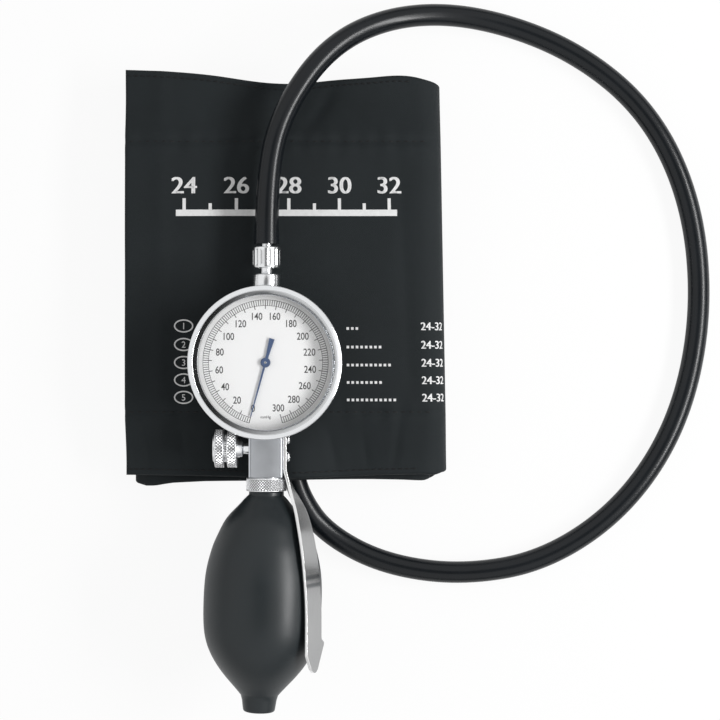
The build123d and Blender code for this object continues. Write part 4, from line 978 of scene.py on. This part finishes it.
def make_cuff_print(material):
    """White printing on the top ply: a sizing scale, and five numbered rows that all give the range."""
    shapes = [block(BAR_FROM, BAR_Y, BAR_TO, BAR_Y + BAR_HEIGHT)]
    for number, size in enumerate(range(SMALLEST_ARM, LARGEST_ARM + 1)):
        x = FIRST_MARK_X + number * MARK_STEP
        tall = LONG_MARK if size % 2 == 0 else SHORT_MARK
        shapes.append(block(x - MARK_HALF, BAR_Y + BAR_HEIGHT, x + MARK_HALF, BAR_Y + tall))
        if size % 2 == 0:
            shapes += heavy(str(size), 6.0, x, BAR_Y + 8.2, 1.1, 0.22)
    for number, (y, dots_end) in enumerate(TABLE_ROWS):
        shapes.append(ring(OVAL_X, y, 3.25, 2.15, 0.5))
        shapes.append(words(str(number + 1), 2.3, OVAL_X, y - 1.15))
        shapes += [block(x, y - 1.4, x + 0.95, y - 0.45) for x in np.arange(DOTS_X, dots_end, DOT_STEP)]
        shapes += heavy(f"{SMALLEST_ARM}-{LARGEST_ARM}", 2.85, RANGE_X, y - 1.5, 0.88, 0.1)
    points, faces = cut_small(*joined(shapes), PRINT_CELL)
    points = points * MM
    lift = np.full(len(points), PLY / 2 + PRINT_LIFT)
    places = laid(points[:, 0] - FREE_EDGE_X, points[:, 1], lift)
    return piece_of("cuff_print", places, faces, material, slot="cuff_cloth", closed_mesh=False)


# Dial

DIAL_START = 15.3
DIAL_SWEEP = 329.0
DIAL_TOP = 300
TICK_OUT = 22.1
TICK_IN = 20.1
LONG_TICK_IN = 18.9
NUMERALS_OUT = 17.9
NUMERAL_HEIGHT = 2.5
NUMERAL_SQUEEZE = 0.8
NUMERAL_BOLD = 0.045
DIGIT_HALF_WIDTH = 0.68
TICK_HALF = 0.11
LONG_TICK_HALF = 0.13
ARC_LINE = 0.15
UNIT_Y = -19.7
INK_LIFT = 0.02 * MM


def dial_turn(reading):
    """Angle of a reading, clockwise from straight down."""
    return radians(DIAL_START + DIAL_SWEEP * reading / DIAL_TOP)


def make_dial_print(ink):
    """Ticks every 2, longer every 10, between two thin arcs, and upright numerals every 20.

    A numeral's middle is at the outer radius less sqrt((half width * sin a)^2 + (half height * cos a)^2).
    """
    ends = [-pi / 2 - dial_turn(0), -pi / 2 - dial_turn(DIAL_TOP)]
    shapes = [ring(0, 0, radius, radius, ARC_LINE, 180, *ends) for radius in (TICK_OUT, TICK_IN)]
    for reading in range(0, DIAL_TOP + 1, 2):
        turn = dial_turn(reading)
        out = np.array([-sin(turn), -cos(turn)])
        side = np.array([-out[1], out[0]])
        inner, half = (LONG_TICK_IN, LONG_TICK_HALF) if reading % 10 == 0 else (TICK_IN, TICK_HALF)
        corners = [(inner, -half), (TICK_OUT, -half), (TICK_OUT, half), (inner, half)]
        shapes.append((np.array([out * radius + side * aside for radius, aside in corners]), [(0, 1, 2, 3)]))
    for reading in range(0, DIAL_TOP + 1, 20):
        turn = dial_turn(reading)
        half_width = DIGIT_HALF_WIDTH * len(str(reading))
        radius = NUMERALS_OUT - np.hypot(half_width * sin(turn), NUMERAL_HEIGHT / 2 * cos(turn))
        x = -sin(turn) * radius
        y = -cos(turn) * radius - NUMERAL_HEIGHT / 2
        shapes.append(words(str(reading), NUMERAL_HEIGHT, x, y, NUMERAL_SQUEEZE, NUMERAL_BOLD))
    shapes.append(words("mmHg", 1.0, 0.0, UNIT_Y, 0.95, 0.015))
    points, faces = joined(shapes)
    height = np.full((len(points), 1), DIAL_FACE_Z + INK_LIFT)
    places = np.concatenate([points * MM + (AXIS_X, DIAL_Y), height], axis=-1)
    return piece_of("dial_print", places, faces, ink, slot="dial_enamel", closed_mesh=False)


# Bladder, tapes and spout inside the roll


def pad(name, node, material, slot, squareness, steps=41):
    """A pad that fills a solid's box, sunk with the roll.

    Over and under its middle it rises by its half thickness * sqrt((1 - |u|^n) * (1 - |v|^n)), where n is
    its squareness and u and v run from -1 to 1 across the box.
    """
    low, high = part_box(node)
    middle, half = (low + high) / 2, (high - low) / 2
    spread = np.sin(np.linspace(-pi / 2, pi / 2, steps))
    u, v = np.meshgrid(spread, spread, indexing="ij")
    rise = half.z * np.sqrt((1 - np.abs(u) ** squareness) * (1 - np.abs(v) ** squareness))
    x = middle.x + half.x * u
    y = middle.y + half.y * v
    sides = [np.stack([x, y, settled(x, y, middle.z + sign * rise)], axis=-1) for sign in (1, -1)]
    quads = grid_quads(steps, steps)
    faces = np.concatenate([quads, quads[:, ::-1] + steps * steps])
    uv = np.stack([x, y], axis=-1)
    return piece_of(name, sides, faces, material, slot=slot, stands_for=[node], uv=np.stack([uv, uv]))


def make_spout(material):
    """The bladder's short spout, which the hose is pushed on."""
    low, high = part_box("bladder_port")
    profile = closed(softened([(2.0, 0, 0.2), (4.0, 0, 0.3), (4.0, 6.0, 0.3), (2.0, 6.0, 0.2)]))
    end = ((low.x + high.x) / 2, high.y, (low.z + high.z) / 2)
    placing = {"slot": "bladder_rubber", "stands_for": ["bladder_port"]}
    return turned("bladder_spout", profile, end, (0, -1, 0), material, 64, **placing)


# Bulb

BULB_LEAN = radians(2)
BULB_TOP = (AXIS_X, ferrule_low.y - 0.05 * MM, AXIS_Z)
BULB_AXIS = (-sin(BULB_LEAN), -cos(BULB_LEAN), 0.0)
# The bulb's outside: radius and distance down its axis, in millimetres
BULB_OUTSIDE = [
    (6.3, 1.5), (7.4, 2.6), (9.2, 4.7), (11.7, 7.4), (13.9, 10.1), (15.4, 12.8), (16.7, 15.7),
    (18.0, 18.8), (19.2, 22.8), (20.2, 27.2), (20.8, 32.0), (21.0, 37.0), (21.0, 42.0), (20.8, 47.0),
    (20.3, 51.2), (19.1, 55.5), (17.3, 59.3), (14.7, 63.3), (11.4, 67.3), (8.5, 70.5), (6.7, 72.6),
]
BULB_WALL, BULB_LENGTH = 2.5, 78.5
NECK_RADIUS, NECK_BORE, END_BORE = 6.2, 4.55, 3.65
CAVITY_FROM, CAVITY_TO = 10.5, 70.5


def make_bulb(material):
    """A turned rubber shell: a spline through its outside, and its inside one wall further in."""
    radii, places = np.transpose(BULB_OUTSIDE)
    down = np.linspace(places[0], places[-1], 100)
    outer = np.stack([smooth_curve(places, radii, down), down], axis=-1) * MM
    up = np.linspace(CAVITY_TO, CAVITY_FROM, 45)
    inner = np.stack([smooth_curve(places, radii, up) - BULB_WALL, up], axis=-1) * MM
    neck = softened([(NECK_BORE, 0, 0.2), (NECK_RADIUS, 0, 0.35), (NECK_RADIUS, 1.3, 0)])
    end = [(END_BORE, BULB_LENGTH, 0.3), (END_BORE, CAVITY_TO, 0)]
    tail = softened([(NECK_RADIUS, 74.3, 0), (5.6, BULB_LENGTH, 0.9), *end])
    throat = softened([(NECK_BORE, CAVITY_FROM, 0)])
    profile = closed(np.vstack([neck, outer, tail, inner, throat]))
    placing = {"slot": "bulb_rubber", "stands_for": ["bulb"], "sharp": 60}
    return turned("rubber_bulb", profile, BULB_TOP, BULB_AXIS, material, 192, **placing)


# Metalwork. Profiles of turned pieces hold (radius, height, setback) corners in millimetres

UP = (0, 0, 1)
DOWN_THE_HANDLE = (0, -1, 0)
DIAL_FOOT = (AXIS_X, DIAL_Y, 0)
SKIRT_RADIUS, SKIRT_BORE, LIP_RADIUS = 27.1, 25.05, 23.6
SKIRT_FOOT, LIP_FOOT = 36.05, 39.85


def make_bezel(material):
    """A turned ring: an upright skirt, a bright crown that falls outwards and a cone down to the window."""
    corners = [
        (SKIRT_BORE, SKIRT_FOOT, 0.1), (SKIRT_RADIUS, SKIRT_FOOT, 0.3), (SKIRT_RADIUS, 42.8, 0.45),
        (25.3, 43.55, 0.2), (LIP_RADIUS, 41.85, 0.2), (LIP_RADIUS, LIP_FOOT, 0.1),
        (SKIRT_BORE, LIP_FOOT, 0.1),
    ]
    profile = closed(softened(corners, steps=8))
    placing = {"slot": "chrome_plate", "stands_for": ["bezel_ring"]}
    return turned("polished_bezel", profile, DIAL_FOOT, UP, material, 256, **placing)


def make_seal(material):
    """The rubber ring under the window, tucked in behind the bezel's lip."""
    low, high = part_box("window_gasket")
    inner, outer = 23.75, (high.x - low.x) / 2 / MM
    foot, top = low.z / MM, high.z / MM
    corners = [(inner, foot, 0.1), (outer, foot, 0.1), (outer, top, 0.1), (inner, top, 0.1)]
    profile = closed(softened(corners))
    placing = {"slot": "seal_rubber", "stands_for": ["window_gasket"]}
    return turned("window_seal", profile, DIAL_FOOT, UP, material, 96, **placing)


# The knob's wheels and the groove between them, then the knurls: the length of a diamond and the step
# between the points of a knurled profile
WHEEL_RADIUS, WAIST_RADIUS, WHEEL_EDGE = 6.85, 4.8, 0.45
NEEDLE_HOLE = 1.05
KNOB_GRIPS = ((4.6 * MM, 7.4 * MM), (9.2 * MM, 11.85 * MM))
KNOB_DIAMONDS, KNOB_DIAMOND = 34, 1.2 * MM
FERRULE_DIAMONDS, FERRULE_DIAMOND = 42, 1.0 * MM
KNURL_DEPTH = 0.38 * MM
KNURL_STEP = 0.1 * MM


def make_knob(material):
    """The release knob: a flared hub, two knurled wheels with a pitted groove between them, and a cap."""
    corners = [
        (NEEDLE_HOLE, 2.35, 0.1), (2.9, 2.35, 0.3), (3.3, 4.25, 0.15), (WHEEL_RADIUS, 4.25, WHEEL_EDGE),
        (WHEEL_RADIUS, 7.75, WHEEL_EDGE), (WAIST_RADIUS, 7.75, 0.15), (WAIST_RADIUS, 8.85, 0.15),
        (WHEEL_RADIUS, 8.85, WHEEL_EDGE), (WHEEL_RADIUS, 12.2, WHEEL_EDGE), (WAIST_RADIUS, 12.2, 0.15),
        (WAIST_RADIUS, 12.85, 0.25), (0, 12.85, 0), (0, 11.85, 0), (NEEDLE_HOLE, 11.85, 0),
    ]
    relief = together(
        *(knurl(KNOB_DIAMONDS, KNOB_DIAMOND, KNURL_DEPTH, low, high) for low, high in KNOB_GRIPS),
        dimples(KNOB_DIAMONDS, WAIST_RADIUS * MM, 8.3 * MM, 0.24 * MM, 0.4 * MM),
    )
    profile = finely(closed(softened(corners)), KNURL_STEP, 4.7 * MM)
    middle = (body_low.x, KNOB_Y, AXIS_Z)
    placing = {"body": "release_knob", "slot": "chrome_plate", "stands_for": ["release_knob"]}
    return turned("knurled_knob", profile, middle, (-1, 0, 0), material, 400, relief, **placing)


def make_ferrule(material):
    """The knurled ring between the valve body and the bulb."""
    radius, bore, length = 7.2, 5.62, 4.8
    corners = [(bore, 0, 0), (radius, 0, 0.35), (radius, length, 0.35), (bore, length, 0)]
    relief = knurl(FERRULE_DIAMONDS, FERRULE_DIAMOND, KNURL_DEPTH, 0.4 * MM, 4.4 * MM)
    profile = finely(closed(softened(corners)), KNURL_STEP, 7.0 * MM)
    top = (AXIS_X, ferrule_high.y, AXIS_Z)
    placing = {"slot": "chrome_plate", "stands_for": ["bulb_ferrule"]}
    steps = 12 * FERRULE_DIAMONDS
    return turned("knurled_ferrule", profile, top, DOWN_THE_HANDLE, material, steps, relief, **placing)


def make_union_nut(material):
    """The fluted nut on the hose's nipple, with its inner shoulder."""
    radius, bore, throat, length, shoulder = 4.9, 3.25, 1.95, 7.5, 5.5
    corners = [
        (bore, 0, 0.1), (radius, 0, 0.4), (radius, length, 0.4), (throat, length, 0.15),
        (throat, shoulder, 0), (bore, shoulder, 0),
    ]
    relief = flutes(12, radius * MM, 0.34 * MM, 0.8 * MM, 0.8 * MM, 6.7 * MM)
    profile = finely(closed(softened(corners)), 0.3 * MM)
    foot = (AXIS_X, NUT_START_Y, AXIS_Z)
    placing = {"body": "union_nut", "slot": "chrome_plate", "stands_for": ["union_nut"]}
    return turned("fluted_nut", profile, foot, (0, 1, 0), material, 288, relief, **placing)


def make_pointer_cap(material):
    """The small domed cap on the pointer's arbor."""
    profile = softened([(0, -0.1, 0), (0.45, -0.1, 0), (0.45, 0.1, 0.1), (0, 0.14, 0)])
    foot = (AXIS_X, DIAL_Y, POINTER_TOP_Z)
    return turned("pointer_cap", profile, foot, UP, material, 32, body="pointer", slot="movement_steel")


# The block's ends in y and what is taken off round them, then one edge of its outline: how far in from
# the side and down from the top, in millimetres
BODY_ENDS = [(-15.6, 0.1), (-15.7, 0.0), (-30.9, 0.0), (body_low.y / MM, 0.1)]
BODY_EDGE = [(0, 0.8), (0.1, 0.46), (0.62, 0.31), (0.65, 0.7), (0.95, 0.7), (0.98, 0.03), (1.15, 0.0)]


def make_body(material):
    """The valve body: a block along y, with a shallow chamfer and a fine groove along each long edge."""
    left, right = body_low.x / MM, body_high.x / MM - 0.2
    foot, top = body_low.z / MM, body_high.z / MM
    upper = [(left + inset, top - drop) for inset, drop in BODY_EDGE]
    upper += [(right - inset, top - drop) for inset, drop in reversed(BODY_EDGE)]
    lower = [(x, foot + top - z) for x, z in reversed(upper)]
    outline = np.array(upper + lower + upper[:1])
    count = len(outline) - 1
    along, inset = np.transpose(BODY_ENDS)
    inwards = outline[:-1].mean(axis=0) - outline
    section = outline + inwards / np.abs(inwards).max() * inset[:, None, None]
    points = np.stack([section[..., 0], along[:, None] * np.ones(count + 1), section[..., 1]], axis=-1) * MM
    faces = [tuple(face) for face in grid_quads(len(along), count + 1)]
    for first in (0, (len(along) - 1) * (count + 1)):
        faces.append(tuple(range(first, first + count)))
    looks = {"slot": "satin_plate", "sharp": 12}
    return piece_of("block_body", points, faces, material, stands_for=["valve_body"], **looks)


# Palm spoon: places down the strap, in millimetres from the dial's centre and the axis of the hand unit

SPOON_THICKNESS = 1.2
SPOON_HALF = 5.0
SPOON_TOP = 25.5
SPOON_END = 108.5
# Reach of the two dark bands of painted reflection that stand for a bend in the strap
BEND_REFLECTION_REACH = 76.4
# Reach, how far out and up the strap's middle is, and how far its face leans from lying flat
SPOON_PLACES = [
    (37.3, 6.7, 0.0, 90.0), (40.9, 7.45, 0.0, 90.0), (44.5, 8.6, 0.5, 87.5), (48.0, 10.15, 1.9, 81.0),
    (51.9, 11.95, 4.3, 73.5), (55.9, 13.2, 7.0, 68.5), (58.9, 13.95, 9.0, 66.3), (64.1, 14.95, 11.1, 63.8),
    (69.2, 15.65, 12.1, 62.3), (74.4, 16.15, 12.45, 61.5), (81.3, 16.65, 12.45, 61.0),
    (90.0, 16.9, 12.3, 61.0),
]
# Half widths of the strap on its upper and its lower side, by reach
UPPER_HALF = [(101.8, SPOON_HALF), (SPOON_END, 1.3)]
LOWER_HALF = [(97.2, SPOON_HALF), (98.5, 6.8), (99.1, 6.8), (SPOON_END, 1.9)]


def make_spoon(material):
    """A strap: middle + a * across + b * outwards, where (a, b) goes round a flat outline with peaked edges.

    The strap's middle and its lean are splines down the reach, and stay as they are beyond the last place.
    Across is (cos lean, -sin lean) and outwards is (sin lean, cos lean), in (out, up). Its two half widths
    draw the ear and the blunt tip.
    """
    tip_steps = SPOON_END - np.array([1.2, 0.85, 0.55, 0.3, 0.12, 0.03, 0.0])
    reach = np.concatenate([[SPOON_TOP, SPOON_TOP + 0.15], np.arange(26.0, 107.2, 0.6), tip_steps])
    at, *values = np.transpose(SPOON_PLACES)
    out, up, lean = (smooth_curve(at, value, reach, level_ends=True)[:, None] for value in values)
    lean = np.radians(lean)
    blunt = 1.1 * (1 - np.sqrt(np.clip((SPOON_END - reach) / 1.2, 0, 1)))
    sides = (UPPER_HALF, LOWER_HALF)
    upper, lower = ((np.interp(reach, *np.transpose(side)) - blunt)[:, None] for side in sides)
    half = SPOON_THICKNESS / 2
    edge = [(-0.8, -half, 0), (-0.13, -half, 0.06), (0.0, 0.0, 0.2), (-0.13, half, 0.06), (-0.8, half, 0)]
    inset, b = (softened(edge) / MM).T
    a = np.concatenate([lower + inset, -upper - inset[::-1], lower[:, :1] + inset[:1]], axis=1)
    b = np.concatenate([b, b[::-1], b[:1]])[None, :] * np.ones_like(a)
    ends = np.ones((len(reach), 1))
    ends[0] = ends[-1] = 0.0
    a = a * ends
    b = b * ends
    points = np.stack(
        [
            AXIS_X + (out + a * np.cos(lean) + b * np.sin(lean)) * MM,
            DIAL_Y - reach[:, None] * MM * np.ones_like(a),
            AXIS_Z + (up - a * np.sin(lean) + b * np.cos(lean)) * MM,
        ],
        axis=-1,
    )
    from_edge_and_reach = np.stack([upper + a, reach[:, None] * np.ones_like(a)], axis=-1) * MM
    looks = {"slot": "spoon_steel", "uv": from_edge_and_reach, "sharp": 25}
    return piece_of("palm_spoon", points, grid_quads(*a.shape), material, stands_for=["spoon"], **looks)


# Finishes on the solids that are shown as they are

EDGE_WIDTH = 0.12 * MM
EDGE_ANGLE = 35


def finish(material, *names, edges=False):
    """Give solids a finish and, where asked, a hair-thin bevel that catches the light on their edges."""
    for name in names:
        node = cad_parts[name]
        node.data.materials.clear()
        node.data.materials.append(material)
        if edges:
            weld = node.modifiers.new("weld", "WELD")
            weld.merge_threshold = WELD
            bevel = node.modifiers.new("edges", "BEVEL")
            bevel.width = EDGE_WIDTH
            bevel.segments = 2
            bevel.limit_method = "ANGLE"
            bevel.angle_limit = radians(EDGE_ANGLE)
            bevel.harden_normals = True


make_camera()
make_world()
make_lamp("key_lamp", (0.62, 0.0, 0.5), (0.62, 0.15), 5.5)
make_lamp("fill_lamp", (-0.75, -0.05, 0.5), (0.7, 0.3), 1.2, mirrored=False)
make_floor()

chrome = plated("chrome", (0.83, 0.845, 0.86), 0.09, 0.03)
knurled = knurled_plate()
silky = plated("silky_chrome", (0.86, 0.87, 0.88), 0.22)
satin = plated("satin_nickel", (0.6, 0.62, 0.65), 0.36, 0.08)
brass = plated("brass", (0.78, 0.62, 0.34), 0.28, 0.08)
bronze = plated("spring_bronze", (0.72, 0.5, 0.33), 0.25, 0.06)
steel = plated("movement_steel", (0.6, 0.61, 0.62), 0.22)
hose_rubber = rubber("hose_rubber", tone(0.0035, 0.0045, 0.0055), tone(0.006, 0.008, 0.0105), 0.25, 0.3)
bulb_rubber = rubber("bulb_rubber", tone(0.012, 0.0155, 0.017), tone(0.0175, 0.0225, 0.0255), 0.37, 0.36)
seal_rubber = rubber("seal_rubber", tone(0.01, 0.01, 0.011), tone(0.02, 0.02, 0.021), 0.6, 0.3)
bladder_rubber = rubber("bladder_rubber", tone(0.03, 0.03, 0.032), tone(0.05, 0.05, 0.053), 0.6, 0.4)
pile = hook_pile()

make_hose(hose_rubber)
cuff = make_cuff(woven_nylon())
stitches = make_stitches(thread())
cuff_print = make_cuff_print(screen_print())
pad("deflated_bladder", "bladder", bladder_rubber, "bladder_rubber", 4)
for name, node in (("hook_tape", "hook_pad"), ("loop_tape", "loop_pad")):
    tape = pad(name, node, pile, "fastener_cloth", 40)
make_spout(bladder_rubber)
make_bulb(bulb_rubber)
make_bezel(chrome)
make_seal(seal_rubber)
make_body(satin)
make_knob(knurled)
make_ferrule(knurled)
make_union_nut(silky)
make_spoon(brushed_sheet())
make_dial_print(dial_ink())
make_pointer_cap(steel)

finish(chrome, "valve_gland", "spoon_screws", edges=True)
finish(silky, "hose_nipple", "hose_socket", edges=True)
finish(case_lacquer(), "gauge_case")
finish(dial_enamel(), "dial_plate")
finish(blued_metal(), "pointer")
finish(clear_window(), "crystal")
finish(seal_rubber, "gland_packing")
finish(bronze, "capsule", "hairspring")
finish(brass, "outlet_cage", "intake_valve", "intake_cage", "manifold", "base_plate", "bridge_plate")
finish(brass, "bridge_posts", "movement_posts", "hairspring_stud", "sector_gear", "capsule_stud")
finish(steel, "bulb_nipple", "movement_screws", "rocker_shaft", "sector_arbor", "pointer_arbor")
finish(steel, "valve_needle", "intake_screen", "outlet_ball", "intake_ball")

bpy.context.scene.view_settings.view_transform = "Standard"
